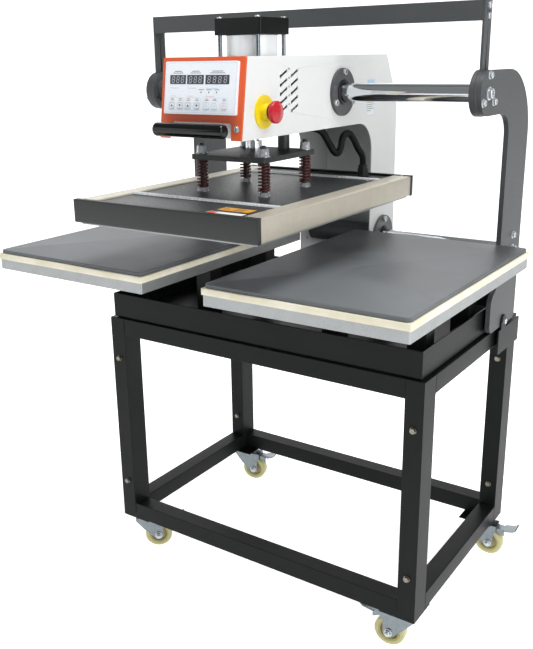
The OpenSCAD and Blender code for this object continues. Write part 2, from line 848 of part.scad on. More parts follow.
// Folded side rails: a flat top and a side wall, with a turned-in lower lip
module platen_rails() {
  len = platen_d - 12;
  color("#c9c4b6") place() both_sides() translate([0, platen_y - len / 2, 0]) {
    translate([platen_w / 2 - rail_w, 0, platen_top - sheet_t]) cube([rail_w, len, sheet_t]);
    translate([platen_w / 2 - sheet_t, 0, platen_bot]) cube([sheet_t, len, platen_h]);
  }
}

// Dark end covers at the front and back, and the bright bars that edge the insulating panel
module platen_covers() {
  color("#454746") place() {
    for (s = [-1, 1]) translate([0, platen_y + s * (platen_d / 2 - 3), platen_bot])
      translate([-platen_w / 2, -3, 0]) cube([platen_w, 6, platen_h]);
    for (y = [sep_front_y, sep_back_y])
      translate([rail_w - platen_w / 2, y - 3, panel_top]) cube([platen_w - 2 * rail_w, 6, sheet_t]);
  }
}

module platen_panel() {
  color("#6a6e72") place() difference() {
    translate([rail_w - platen_w / 2, platen_y - platen_d / 2 + 6, panel_top - sheet_t])
      cube([platen_w - 2 * rail_w, platen_d - 12, sheet_t]);
    at_springs() translate([0, 0, 900]) cylinder(r = spring_bolt_r + 0.2, h = 100);
  }
}

// Four studs through the springs, each with a nut at the panel and a nut above the spring plate
module spring_bolts() {
  low_z = heat_z + 16;
  color("#b9bcbe") place() at_springs() {
    translate([0, 0, low_z]) cylinder(r = spring_bolt_r, h = 1046 - low_z);
    translate([0, 0, panel_top]) hex(nut_af, nut_h);
    translate([0, 0, plate_z + plate_t + gap]) hex(nut_af, 11);
    translate([0, 0, 1042]) cylinder(r1 = spring_bolt_r, r2 = spring_bolt_r - 1.5, h = 6);
  }
}

module lead_gland() {
  color("#161717") place() translate([gland_x, gland_y, panel_top]) difference() {
    union() {
      hex(22, gland_h - 8);
      cylinder(r = gland_r - 1, h = gland_h);
    }
    translate([0, 0, 4]) cylinder(r = lead_r + 0.4, h = gland_h);
  }
}

// ---------- Platen lead ----------

function unit(v) = v / norm(v);
function route_dir(p, i) = unit(p[min(i + 1, len(p) - 1)] - p[max(i - 1, 0)]);
function ring(p, i, r, n) = let (t = route_dir(p, i), u = unit(cross(t, [0.94, -0.33, 0.05])), v = cross(t, u))
    [for (k = [0:n - 1]) p[i] + r * (cos(360 * k / n) * u + sin(360 * k / n) * v)];

// A tube swept along the points of a route, closed by a flat face at each end
module tube(p, r, n) {
  m = len(p);
  points = [for (i = [0:m - 1]) each ring(p, i, r, n)];
  sides = [for (i = [0:m - 2], k = [0:n - 1])
    [i * n + k, i * n + (k + 1) % n, (i + 1) * n + (k + 1) % n, (i + 1) * n + k]];
  first = [for (k = [0:n - 1]) n - 1 - k];
  last = [for (k = [0:n - 1]) (m - 1) * n + k];
  polyhedron(points = points, faces = concat([first], sides, [last]), convexity = 6);
}

module platen_lead() {
  color("#161718") place() tube(lead_route, lead_r, 10);
}

front_frame();
rear_frame();
side_rails();
fasteners();
base_tray();
bed_supports();
bed_plates();
foam_pads();
rubber_pads();
left_arm();
right_arm();
crossbar();
crossbar_uprights();
shaft_flanges();
slide_shafts();
caster_plates();
head_shell();
head_rear_cover();
ram_mount();
shaft_bearings();
control_bezel();
membrane_panel();
display_windows();
handle_bar();
e_stop_ring();
cylinder_caps();
cylinder_barrel();
tie_rods();
rear_inlets();
key_1();
key_2();
key_3();
key_4();
key_5();
key_6();
key_7();
e_stop_button();
ram_rod();
guide_rod();
spring_plate();
platen_springs();
heat_plate();
platen_rails();
platen_covers();
platen_panel();
spring_bolts();
lead_gland();
platen_lead();
fork_fr();
fork_fl();
fork_rr();
fork_rl();
wheel_fr();
wheel_fl();
wheel_rr();
wheel_rl();
pedal_fr();
pedal_fl();
pedal_rr();
pedal_rl();
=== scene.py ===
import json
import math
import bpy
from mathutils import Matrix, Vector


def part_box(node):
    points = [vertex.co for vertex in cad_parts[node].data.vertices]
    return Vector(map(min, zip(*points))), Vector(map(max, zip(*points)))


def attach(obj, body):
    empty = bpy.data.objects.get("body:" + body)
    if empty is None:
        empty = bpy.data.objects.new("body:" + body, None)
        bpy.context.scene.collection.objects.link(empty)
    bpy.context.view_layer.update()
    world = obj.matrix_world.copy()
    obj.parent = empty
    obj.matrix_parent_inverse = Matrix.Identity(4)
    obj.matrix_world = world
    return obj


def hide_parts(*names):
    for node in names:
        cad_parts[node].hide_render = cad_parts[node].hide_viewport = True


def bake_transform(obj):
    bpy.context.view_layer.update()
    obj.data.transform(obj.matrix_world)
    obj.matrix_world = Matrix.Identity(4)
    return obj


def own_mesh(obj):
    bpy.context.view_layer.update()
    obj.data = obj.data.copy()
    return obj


bl_info = {
    "name": "Shuttle heat press",
    "version": (1, 0, 0),
    "blender": (4, 5, 0),
    "location": "View3D > Sidebar > Heat press",
    "description": "Finishes and fine pieces of a pneumatic shuttle heat press, built around its fixed frame",
    "category": "Object",
}

import bpy
import numpy as np
from mathutils import Matrix

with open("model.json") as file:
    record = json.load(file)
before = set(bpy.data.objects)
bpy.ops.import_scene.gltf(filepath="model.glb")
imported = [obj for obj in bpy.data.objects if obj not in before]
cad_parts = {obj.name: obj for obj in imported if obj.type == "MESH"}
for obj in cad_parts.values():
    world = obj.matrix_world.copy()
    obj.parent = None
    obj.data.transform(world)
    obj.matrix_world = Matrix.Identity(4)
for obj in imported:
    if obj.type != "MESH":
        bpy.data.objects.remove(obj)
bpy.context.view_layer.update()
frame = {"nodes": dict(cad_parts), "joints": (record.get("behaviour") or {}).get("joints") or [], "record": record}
JOINTS = {j["name"]: j for j in frame["joints"]}
NODES = frame["nodes"]

MM = 0.001
TAU = 2.0 * math.pi
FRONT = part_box("front_frame")[0].y
CORNERS = ("fr", "fl", "rr", "rl")
# Colour sockets of the mix node, which share their names with its other kinds.
MIX_A = 6
MIX_B = 7
MIX_RESULT = 2
# Least roughness a finish may reach.
SMOOTHEST = 0.02
X_AXIS, Y_AXIS, Z_AXIS = np.eye(3)


# ---------------------------------------------------------------- settings

def length(name, description, default):
    """A size in metres."""
    return bpy.props.FloatProperty(name=name, description=description, default=default, unit="LENGTH")


def hex_code(name, description, default):
    """A colour as an sRGB hex code."""
    return bpy.props.StringProperty(name=name, description=description, default=default)


class HeatPressSizes(bpy.types.PropertyGroup):
    """Sizes of the pieces that are finer than the frame."""
    edge: length("Edge radius", "Radius on the edges of folded and cut sheet", 0.0008)
    spring_turns: bpy.props.FloatProperty(
        name="Spring turns", description="Turns of each die spring, dead ends included", default=9.5)
    spring_wire: length("Spring wire", "Height of the springs' rectangular wire", 0.0031)
    lead_ripple: length("Lead ripple", "Depth of the ripple on the flexible lead's sleeve", 0.00035)
    focal_length: bpy.props.FloatProperty(
        name="Focal length", description="Focal length in mm for a 36 mm long side", default=46.38)


class HeatPressColours(bpy.types.PropertyGroup):
    """Colours of the finishes, as sRGB hex codes."""
    stand: hex_code("Stand", "Powder coat on the stand", "#1c1e1e")
    arms: hex_code("Arms", "Powder coat on arms and crossbar", "#484b4d")
    head: hex_code("Head", "Powder coat on the head", "#e6e8e7")
    bezel: hex_code("Bezel", "Powder coat on the panel bezel", "#e0602f")
    rubber: hex_code("Rubber", "Silicone rubber on the beds", "#666a6d")
    foam: hex_code("Foam", "Silicone foam under the rubber", "#ebe6d4")
    rails: hex_code("Rails", "Brushed side rails of the platen", "#cdc7b8")
    covers: hex_code("Covers", "End covers of the platen", "#282b2b")
    springs: hex_code("Springs", "Paint on the die springs", "#5a201d")


def sizes():
    return bpy.context.scene.heat_press_sizes


def colours():
    return bpy.context.scene.heat_press_colours


# ---------------------------------------------------------------- colour and shader helpers

def to_linear(code):
    """Linear RGBA of an sRGB hex code."""
    values = np.array([int(code[i:i + 2], 16) for i in (1, 3, 5)]) / 255.0
    linear = np.where(values <= 0.04045, values / 12.92, ((values + 0.055) / 1.055) ** 2.4)
    return (*linear.tolist(), 1.0)


def add_node(tree, kind, settings=None, inputs=None):
    """Adds a node, sets its fields, and fills or links its inputs."""
    node = tree.nodes.new(kind)
    for key, value in (settings or {}).items():
        setattr(node, key, value)
    for key, value in (inputs or {}).items():
        if isinstance(value, bpy.types.NodeSocket):
            tree.links.new(value, node.inputs[key])
        else:
            node.inputs[key].default_value = value
    return node


def new_finish(name, sockets):
    """An empty material with one principled shader. Returns the material, its tree and the shader."""
    material = bpy.data.materials.new(name)
    material.use_nodes = True
    tree = material.node_tree
    tree.nodes.clear()
    shader = add_node(tree, "ShaderNodeBsdfPrincipled", inputs=sockets)
    add_node(tree, "ShaderNodeOutputMaterial", inputs={"Surface": shader.outputs["BSDF"]})
    return material, tree, shader


def noise(tree, vector, size, detail, **more):
    """Cloud noise with a grain of `size` metres, from 0 to 1."""
    return add_node(tree, "ShaderNodeTexNoise", inputs={
        "Vector": vector, "Scale": 1.0 / size, "Detail": detail, **more}).outputs["Fac"]


def spread_over(tree, value, low, high, start=0.3, end=0.7):
    """The value's range from start to end, stretched to run from low to high."""
    return add_node(tree, "ShaderNodeMapRange", inputs={
        "Value": value, "From Min": start, "From Max": end, "To Min": low,
        "To Max": high}).outputs["Result"]


def two_tone(tree, value, dark, light, start=0.0, end=1.0):
    """A colour that runs from the dark code to the light one as the value runs from start to end."""
    ramp = add_node(tree, "ShaderNodeValToRGB", inputs={"Fac": value})
    for stop, position, code in zip(ramp.color_ramp.elements, (start, end), (dark, light)):
        stop.position = position
        stop.color = to_linear(code)
    return ramp.outputs["Color"]


def raise_by(tree, shader, height, distance, strength=1.0):
    """Tilts the shader's normal as if its height rose by the distance, in metres."""
    bump = add_node(tree, "ShaderNodeBump", inputs={
        "Strength": strength, "Distance": distance, "Height": height})
    tree.links.new(bump.outputs["Normal"], shader.inputs["Normal"])


def finish(name, code, shade=None, mottle=0.09, rough=0.5, spread=0.06, grain=0.0025, relief=0.00006,
           stretch=(1.0, 1.0, 1.0), **sockets):
    """A coated or bare surface. Two close tones drift into each other over `mottle` metres, the gloss
    varies by `spread`, and a noise of `grain` metres, drawn out by `stretch`, raises it by `relief`."""
    material, tree, shader = new_finish(name, sockets)
    place = add_node(tree, "ShaderNodeTexCoord").outputs["Object"]
    drift = noise(tree, place, mottle, 5.0, Roughness=0.6)
    tone = add_node(tree, "ShaderNodeMix", {"data_type": "RGBA"}, {
        0: drift, MIX_A: to_linear(code), MIX_B: to_linear(shade or code)})
    tree.links.new(tone.outputs[MIX_RESULT], shader.inputs["Base Color"])
    fine = add_node(tree, "ShaderNodeMapping", inputs={"Vector": place, "Scale": stretch}).outputs["Vector"]
    speck = noise(tree, fine, grain, 3.0, Roughness=0.55)
    gloss = spread_over(tree, speck, max(rough - spread, SMOOTHEST), rough + spread)
    tree.links.new(gloss, shader.inputs["Roughness"])
    raise_by(tree, shader, speck, relief)
    return material


def make_finishes():
    """Every finish of the press, by the name of what it is."""
    c = colours()
    return {
        # Fine-textured powder coat: near black, with a broad soft sheen and an orange-peel grain.
        "powder_black": finish("powder_coat_black", c.stand, "#131515", rough=0.42, spread=0.05,
            relief=0.00008, **{"Specular IOR Level": 0.12}),
        # Satin grey powder coat on laser-cut plate.
        "arm_grey": finish("powder_coat_grey", c.arms, "#404345", rough=0.5, spread=0.06, grain=0.004,
            relief=0.00007),
        # Semi-gloss powder coat on folded steel, slightly pebbled.
        "head_white": finish("powder_coat_white", c.head, "#dfe1e1", rough=0.34, spread=0.04,
            relief=0.00004),
        # Satin powder coat in signal orange.
        "bezel_orange": finish("powder_coat_orange", c.bezel, "#d65627", rough=0.4, spread=0.05,
            relief=0.00004),
        # Yellowish passivated steel, dull.
        "bolt_steel": finish("passivated_steel", "#8f8a80", "#77736a", mottle=0.01, rough=0.34,
            spread=0.08, Metallic=1.0),
        # Bright zinc plate: bluish, a little cloudy.
        "zinc": finish("zinc_plated_steel", "#8e969a", "#747c81", mottle=0.012, rough=0.24, spread=0.1,
            grain=0.002, relief=0.00003, Metallic=1.0),
        # Fresh zinc on screws and nuts: the same plate, brighter.
        "bright_zinc": finish("bright_zinc", "#d3d7da", "#b4babf", mottle=0.006, rough=0.22,
            spread=0.06, grain=0.0015, relief=0.0, Metallic=0.6),
        # Sand-cast aluminium with milled edges: matt, pitted at about 2 mm.
        "cast_aluminium": finish("cast_aluminium", "#b4b6b7", "#9c9fa0", mottle=0.03, rough=0.48,
            spread=0.16, grain=0.0018, relief=0.00022, stretch=(1.0, 1.0, 0.35), Metallic=0.9),
        # Ground hard chrome.
        "hard_chrome": finish("hard_chrome", "#dfe2e4", "#d6dadd", rough=0.09, spread=0.03,
            grain=0.0015, relief=0.000004, stretch=(0.05, 1.0, 1.0), Metallic=1.0),
        # Clear anodised extrusion, drawn along its length.
        "anodised": finish("anodised_aluminium", "#f4f6f8", "#eceff1", rough=0.36, spread=0.05,
            grain=0.0012, relief=0.00001, stretch=(1.0, 1.0, 0.04), Metallic=0.15),
        # Black anodised end caps.
        "cap_black": finish("anodised_black", "#0e0f10", "#0a0b0b", rough=0.35, spread=0.06,
            **{"Specular IOR Level": 0.25}),
        # Polyester film over a moulded body: smooth and cool white.
        "membrane": finish("polyester_film", "#f1f5fb", "#eaf0f8", rough=0.28, spread=0.03,
            relief=0.00001),
        "print_blue": finish("printed_pale_blue", "#b9d6ee", "#a9cbe8", mottle=0.01, rough=0.3),
        "print_red": finish("printed_pale_red", "#e7b7b5", "#dfa3a1", mottle=0.01, rough=0.3),
        "print_dark": finish("printed_dark", "#26292d", "#1b1e22", mottle=0.01, rough=0.35),
        # Smoked acrylic over the displays.
        "led_window": finish("smoked_acrylic", "#33383f", "#2a2e35", mottle=0.02, rough=0.12,
            spread=0.02, relief=0.000004),
        # Unlit display segments: pale grey diffusing plastic.
        "led_segment": finish("unlit_segment", "#b4bac1", "#a4abb3", mottle=0.004, rough=0.4),
        "key_white": finish("key_plastic", "#f0f3f7", "#e6ebf2", mottle=0.02, rough=0.32,
            relief=0.00001),
        # Polished black plastic grip.
        "gloss_black": finish("polished_black_plastic", "#050505", "#080809", rough=0.12, spread=0.03,
            grain=0.004, relief=0.00001, **{"Specular IOR Level": 0.4}),
        "stop_yellow": finish("moulded_yellow_plastic", "#f0d91c", "#e6cc12", mottle=0.02, rough=0.36,
            relief=0.00002),
        "stop_red": finish("moulded_red_plastic", "#c4242e", "#b01c26", mottle=0.02, rough=0.25,
            relief=0.00002),
        # Painted rectangular-wire steel: dark oxide red, mottled at random with a darker tone.
        "spring_red": finish("spring_paint", c.springs, "#43120f", mottle=0.004, rough=0.38, spread=0.1,
            grain=0.0015, relief=0.00005),
        # Brushed stainless sheet with a warm cast; the brush marks run along the rail.
        "beige_steel": finish("brushed_stainless", c.rails, "#bdb6a6", mottle=0.02, rough=0.4,
            spread=0.1, grain=0.0012, relief=0.00002, stretch=(1.0, 0.03, 1.0), Metallic=0.45),
        "cover_grey": finish("powder_coat_dark_grey", c.covers, "#242727", rough=0.44, spread=0.05),
        "panel_grey": finish("textured_enamel_grey", "#2f3234", "#282b2d", mottle=0.12, rough=0.42,
            spread=0.08, grain=0.003, relief=0.00006),
        # Extruded aluminium trim.
        "trim": finish("aluminium_trim", "#eceeef", "#dcdfe1", mottle=0.03, rough=0.26, spread=0.03,
            grain=0.004, relief=0.0, Metallic=0.3),
        "nylon_black": finish("moulded_nylon_black", "#0c0d0d", "#121313", mottle=0.02, rough=0.45,
            **{"Specular IOR Level": 0.4}),
        "bearing_grey": finish("oiled_black_steel", "#4d5052", "#414446", mottle=0.03, rough=0.4,
            spread=0.1),
        "inner_steel": finish("plain_steel", "#8b8e90", "#7c8082", mottle=0.05, rough=0.4, spread=0.1,
            Metallic=0.8),
        "nylon_core": finish("moulded_nylon_cream", "#b5ab70", "#a69c60", mottle=0.02, rough=0.42),
        # Cast polyurethane: cloudy straw yellow that lets a little light through.
        "pu_wheel": finish("cast_polyurethane", "#c6c395", "#bab681", mottle=0.02, rough=0.36,
            relief=0.00003,
            **{"Subsurface Weight": 0.25, "Subsurface Scale": 0.5,
               "Subsurface Radius": (0.01, 0.009, 0.004)}),
        "amber_label": finish("amber_vinyl", "#e7a21d", "#dc951a", mottle=0.02, rough=0.35),
        "white_label": finish("white_vinyl", "#eef0f1", "#e4e7e9", mottle=0.02, rough=0.35),
        "foam": foam_finish(c.foam),
        "rubber": rubber_finish(c.rubber),
        "sleeve": sleeve_finish(),
    }


def foam_finish(code):
    """Open-cut silicone foam: cream, with 2.5 mm cells that show as pits on the cut edges."""
    material, tree, shader = new_finish("silicone_foam", {"Roughness": 0.85, "Sheen Weight": 0.2})
    place = add_node(tree, "ShaderNodeTexCoord").outputs["Object"]
    cells = add_node(tree, "ShaderNodeTexVoronoi", {"feature": "F1"}, {
        "Vector": place, "Scale": 1.0 / 0.0025}).outputs["Distance"]
    stain = noise(tree, place, 0.05, 4.0)
    tree.links.new(two_tone(tree, stain, "#ded7bd", code, 0.3, 0.65), shader.inputs["Base Color"])
    raise_by(tree, shader, cells, 0.0004, 0.7)
    return material


def rubber_finish(code):
    """Calendered silicone rubber: smooth mid grey with faint smudges of handling and a dusty bloom,
    and paler towards the front edge: a painted reflection of the light on it."""
    material, tree, shader = new_finish("silicone_rubber", {
        "Sheen Weight": 0.05, "Sheen Roughness": 0.5, "Specular IOR Level": 0.2})
    place = add_node(tree, "ShaderNodeTexCoord").outputs["Object"]
    smudge = noise(tree, place, 0.16, 6.0, Distortion=0.6)
    depth = add_node(tree, "ShaderNodeSeparateXYZ", inputs={"Vector": place}).outputs["Y"]
    # Painted reflection: the colour runs paler towards the front edge, standing in for the light's sheen on the
    # rubber.
    painted_sheen = spread_over(tree, depth, 0.35, -0.25, -0.36, 0.2)
    smudge_and_painted_sheen = add_node(tree, "ShaderNodeMath", {"operation": "ADD"}, {0: smudge, 1: painted_sheen}).outputs["Value"]
    tree.links.new(two_tone(tree, smudge_and_painted_sheen, "#383b3e", code, 0.25, 0.75), shader.inputs["Base Color"])
    tree.links.new(spread_over(tree, smudge, 0.36, 0.48), shader.inputs["Roughness"])
    raise_by(tree, shader, noise(tree, place, 0.002, 2.0), 0.00003)
    return material


def sleeve_finish():
    """Braided polyester sleeve: two crossing sets of 2 mm strands, wound round the lead's own UV map."""
    material, tree, shader = new_finish("braided_sleeve", {"Roughness": 0.42, "Specular IOR Level": 0.2})
    uv = add_node(tree, "ShaderNodeUVMap", {"uv_map": "UVMap"}).outputs["UV"]
    heights = {}
    for i, turn in enumerate((1.0, -1.0)):
        skew = add_node(tree, "ShaderNodeMapping", inputs={
            "Vector": uv, "Rotation": (0.0, 0.0, turn * math.radians(45.0)),
            "Scale": (16.0, 250.0 / TAU, 1.0)})
        heights[i] = add_node(tree, "ShaderNodeTexWave", {"wave_type": "BANDS"}, {
            "Vector": skew.outputs["Vector"], "Scale": 0.5}).outputs["Fac"]
    cross = add_node(tree, "ShaderNodeMath", {"operation": "MAXIMUM"}, heights).outputs["Value"]
    tree.links.new(two_tone(tree, cross, "#040404", "#161718"), shader.inputs["Base Color"])
    raise_by(tree, shader, cross, 0.0004, 0.8)
    return material


FINISHES = {}


# ---------------------------------------------------------------- shape helpers

def signed_volume(verts, quads, caps):
    """Six times the volume inside, positive when faces point outwards: over the triangles, the sum of
    a . (b x c)."""
    corners = [quads[:, [0, 1, 2]], quads[:, [0, 2, 3]]]
    for cap in caps:
        fan = np.array(cap)
        corners.append(np.stack([np.full(len(fan) - 2, fan[0]), fan[1:-1], fan[2:]], 1))
    tris = verts[np.concatenate(corners)]
    return float(np.einsum("ij,ij->", tris[:, 0], np.cross(tris[:, 1], tris[:, 2])))


def shell(rings, closed=False, origin=(0.0, 0.0, 0.0), basis=None):
    """A skin over a stack of rings, an array (rings, points, 3), each joined to the next point by point.
    It is capped by a flat face at each end, or joined end to start when closed. Basis rows are the
    directions of the rings' own x, y and z. Returns points, quads, caps and the quads' UV corners."""
    m, n = rings.shape[:2]
    verts = rings.reshape(-1, 3)
    if basis is not None:
        verts = verts @ np.asarray(basis)
    verts = verts + np.asarray(origin)
    i, k = np.meshgrid(np.arange(m if closed else m - 1), np.arange(n), indexing="ij")
    i, k = i.ravel(), k.ravel()
    up, side = (i + 1) % m, (k + 1) % n
    quads = np.stack([i * n + k, i * n + side, up * n + side, up * n + k], 1)
    uv = np.stack([np.stack([k, i], 1), np.stack([k + 1, i], 1), np.stack([k + 1, i + 1], 1),
                   np.stack([k, i + 1], 1)], 1) / np.array([n, max(m - 1, 1)])
    caps = [] if closed else [list(range(n))[::-1], list(range((m - 1) * n, m * n))]
    if signed_volume(verts, quads, caps) < 0.0:
        quads, uv, caps = quads[:, ::-1], uv[:, ::-1], [cap[::-1] for cap in caps]
    return verts, quads, caps, uv


def piece(name, shells, finish_name, body, replaced=(), sharp=35.0):
    """Joins shells into one object, shades it smooth between edges under `sharp` degrees, and rides it."""
    points, faces, corners, start = [], [], [], 0
    for verts, quads, caps, uv in shells:
        points.append(verts)
        faces += (quads + start).tolist() + [[v + start for v in cap] for cap in caps]
        corners.append(uv.reshape(-1, 2))
        corners.append(np.zeros((sum(len(cap) for cap in caps), 2)))
        start += len(verts)
    mesh = bpy.data.meshes.new(name)
    mesh.from_pydata(np.concatenate(points).tolist(), [], faces)
    layer = mesh.uv_layers.new(name="UVMap")
    layer.data.foreach_set("uv", np.concatenate(corners).astype(np.float32).ravel())
    mesh.polygons.foreach_set("use_smooth", np.ones(len(faces), bool))
    mesh.set_sharp_from_angle(angle=math.radians(sharp))
    mesh.materials.append(FINISHES[finish_name])
    mesh.update()
    obj = bpy.data.objects.new(name, mesh)
    bpy.context.scene.collection.objects.link(obj)
    if body:
        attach(obj, body)
    if replaced:
        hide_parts(*replaced)
    return obj


def ring(radius, count=48):
    """Points of a circle in the xy plane: radius times cosine and sine; the radius may vary with angle."""
    angle = np.arange(count) * TAU / count
    return np.stack([radius * np.cos(angle), radius * np.sin(angle)], 1)


def hex_radius(across, count=48):
    """Distance from centre to edge of a hexagon: half across flats over the cosine of the folded angle."""
    angle = np.arange(count) * TAU / count
    folded = np.mod(angle + TAU / 12.0, TAU / 6.0) - TAU / 12.0
    return across / 2.0 / np.cos(folded)


def stack(levels):
    """Rings from (outline, height) pairs, in the xy plane at each height."""
    return np.stack([np.column_stack([flat, np.full(len(flat), z)]) for flat, z in levels])


def turned(profile, count=48, **where):
    """A solid of revolution: each (radius, height) of the profile is a circle about z."""
    return shell(stack([(ring(max(r, 1e-5), count), z) for r, z in profile]), **where)


def axis_basis(axis):
    """Rows of a right-handed basis whose z is the axis."""
    z = np.asarray(axis, float) / np.linalg.norm(axis)
    x = np.cross(Y_AXIS if abs(z[1]) < 0.9 else X_AXIS, z)
    x = x / np.linalg.norm(x)
    return np.stack([x, np.cross(z, x), z])


def arc_points(cx, cy, r, start, end, count=6):
    """Points along an arc: centre plus radius times cosine and sine, angles in degrees."""
    angle = np.radians(np.linspace(start, end, count))
    return np.stack([cx + r * np.cos(angle), cy + r * np.sin(angle)], 1)


def round_rect(x0, y0, x1, y1, r, count=5):
    """Outline of a rectangle whose corners are quarter arcs."""
    return np.concatenate([
        arc_points(x1 - r, y0 + r, r, -90, 0, count), arc_points(x1 - r, y1 - r, r, 0, 90, count),
        arc_points(x0 + r, y1 - r, r, 90, 180, count), arc_points(x0 + r, y0 + r, r, 180, 270, count)])


def inset(outline, amount):
    """The outline moved inwards: each point goes along the mean of its two edges' normals, lengthened so
    that both edges move by the amount. The outline runs anticlockwise."""
    edge = np.roll(outline, -1, 0) - outline
    normal = np.stack([-edge[:, 1], edge[:, 0]], 1) / np.linalg.norm(edge, axis=1, keepdims=True)
    before = np.roll(normal, 1, 0)
    scale = 1.0 + np.einsum("ij,ij->i", before, normal)
    return outline + amount * (before + normal) / scale[:, None]


def slab(outline, z0, z1, low=0.0005, high=0.0005, steps=3, **where):
    """A plate with the outline: between the heights its edges turn over in quarter rounds, where the
    inset is r (1 - sin a) and the height r (1 - cos a)."""
    angle = np.radians(np.linspace(0, 90, steps + 1))
    levels = [(inset(outline, low * (1 - math.sin(a))), z0 + low * (1 - math.cos(a))) for a in angle]
    levels += [(inset(outline, high * (1 - math.cos(a))), z1 - high * (1 - math.sin(a))) for a in angle]
    return shell(stack(levels), **where)


def block(low, high, r=0.0008):
    """A box between two corners with its vertical edges and rims rounded."""
    return slab(round_rect(low[0], low[1], high[0], high[1], r, 4), low[2], high[2], r, r)


def swept(profile, path, up=Z_AXIS, **where):
    """A profile carried along a path. At each point the tangent is the central difference, one axis is
    the up direction crossed with it, and the profile's x and y lie along that axis and its normal."""
    tangent = np.gradient(path, axis=0)
    tangent = tangent / np.linalg.norm(tangent, axis=1, keepdims=True)
    side = np.cross(tangent, up)
    side = side / np.linalg.norm(side, axis=1, keepdims=True)
    rise = np.cross(side, tangent)
    across = profile[..., 0, None] * side[:, None, :]
    rings = path[:, None, :] + across + profile[..., 1, None] * rise[:, None, :]
    return shell(rings, **where)


def spline(points, per_span):
    """A smooth curve through the points (Catmull-Rom): on each span a cubic whose end slopes are half the
    difference of the neighbours."""
    p = np.asarray(points, float)
    p = np.concatenate([[2 * p[0] - p[1]], p, [2 * p[-1] - p[-2]]])
    t = np.linspace(0, 1, per_span, endpoint=False)[None, :, None]
    a, b, c, d = (p[i:len(p) - 3 + i, None, :] for i in range(4))
    square = (2 * a - 5 * b + 4 * c - d) * t ** 2
    cube = (3 * b - a - 3 * c + d) * t ** 3
    curve = 0.5 * (2 * b + (c - a) * t + square + cube)
    return np.concatenate([curve.reshape(-1, 3), p[-2:-1]])


def socket_screw(spot, axis, head_r, head_h, key):
    """A cap screw's head: a cylinder with a chamfered rim and a hexagonal socket sunk to half its height."""
    chamfer = 0.12 * head_r
    flat = hex_radius(key)
    levels = [(ring(head_r), 0.0), (ring(head_r), head_h - chamfer), (ring(head_r - chamfer), head_h),
              (ring(flat * 1.06), head_h), (ring(flat), head_h - 0.0003), (ring(flat), head_h * 0.45)]
    return shell(stack(levels), origin=spot, basis=axis_basis(axis))


def hex_head(spot, axis, across, height, seat=True):
    """A hexagon head with its corners cut by a cone, on a thin round washer unless it has no seat."""
    flat = hex_radius(across)
    base = 0.0016 if seat else 0.0
    levels = [(ring(flat), base), (ring(flat), base + height * 0.8),
              (ring(np.minimum(flat, across * 0.5)), base + height), (ring(across * 0.36), base + height)]
    shells = [shell(stack(levels), origin=spot, basis=axis_basis(axis))]
    if seat:
        shells.append(turned([(across * 0.66, 0.0), (across * 0.66, base * 0.8), (across * 0.62, base)],
                             origin=spot, basis=axis_basis(axis)))
    return shells


def washer(spot, axis, radius, height, chamfer=0.0004):
    """A thin round washer whose upper rim is cut back by the chamfer over its last 0.3 mm."""
    return turned([(radius, 0.0), (radius, height - 0.0003), (radius - chamfer, height)], origin=spot,
                  basis=axis_basis(axis))


def dress(node, finish_name, edge=None, angle=30.0):
    """Gives a node its finish, and rounds its sharp edges with live modifiers: weld, a narrow bevel, and
    normals weighted by face area."""
    obj = NODES[node]
    obj.data.materials.clear()
    obj.data.materials.append(FINISHES[finish_name])
    obj.data.polygons.foreach_set("use_smooth", np.ones(len(obj.data.polygons), bool))
    width = sizes().edge if edge is None else edge
    weld = obj.modifiers.new("weld", "WELD")
    weld.merge_threshold = 0.00002
    if width > 0.0:
        bevel = obj.modifiers.new("edge", "BEVEL")
        bevel.width = width
        bevel.segments = 2
        bevel.limit_method = "ANGLE"
        bevel.angle_limit = math.radians(angle)
    # Large faces keep their own direction, so that they stay flat between the rounded edges.
    even = obj.modifiers.new("even", "WEIGHTED_NORMAL")
    even.weight = 80
    return obj


def joint_origin(name):
    return np.array(JOINTS[name]["pos_m"], float)


# The panel's own plane: x across, y up the slope, z outwards along the keys' travel.
FACE_Z = -np.array(JOINTS["key_1_press"]["axis"], float)
FACE = np.stack([X_AXIS, np.cross(FACE_Z, X_AXIS), FACE_Z])


def at(x, y, z):
    """A point given in mm from the stand's front face, in the frame's metres."""
    return np.array([x * MM, FRONT + y * MM, z * MM])


# Lower front edge of the sloping face, where the panel's x, y and z start.
FACE_ORIGIN = at(0.0, -138.0, 1064.0)


def loop(section, **where):
    """A ring-shaped solid of revolution: a closed section of (radius, height) carried round z."""
    return turned(section, closed=True, **where)


def flat(outline, z0, z1, **where):
    """A straight-sided plate with the outline between two heights."""
    return shell(stack([(outline, z0), (outline, z1)]), **where)


def band(outer, inner, z0, z1, **where):
    """A raised stroke between two matching outlines."""
    return shell(stack([(outer, z0), (outer, z1), (inner, z1), (inner, z0)]), closed=True, **where)


def folded(path, thick, bend, steps=5):
    """Section of a folded sheet along a path of straight legs. Each corner becomes an arc of the bend
    radius, and the sheet lies half its thickness to each side of the line."""
    points = [path[0]]
    for before, corner, after in zip(path[:-2], path[1:-1], path[2:]):
        back = (before - corner) / np.linalg.norm(before - corner)
        on = (after - corner) / np.linalg.norm(after - corner)
        half = math.acos(float(np.clip(back @ on, -1.0, 1.0))) / 2.0
        reach = bend / math.tan(half)
        share = np.linspace(0.0, 1.0, steps)[:, None]
        start, end = corner + back * reach, corner + on * reach
        points.extend((1 - share) ** 2 * start + 2 * share * (1 - share) * corner + share ** 2 * end)
    points.append(path[-1])
    line = np.array(points)
    tangent = np.gradient(line, axis=0)
    tangent = tangent / np.linalg.norm(tangent, axis=1, keepdims=True)
    normal = np.stack([-tangent[:, 1], tangent[:, 0]], 1)
    return np.concatenate([line - normal * thick / 2, (line + normal * thick / 2)[::-1]])


def along_x(section, x0, x1):
    """A (y, z) section carried from x0 to x1."""
    rings = np.stack([np.column_stack([np.full(len(section), x), section]) for x in (x0, x1)])
    return shell(rings)


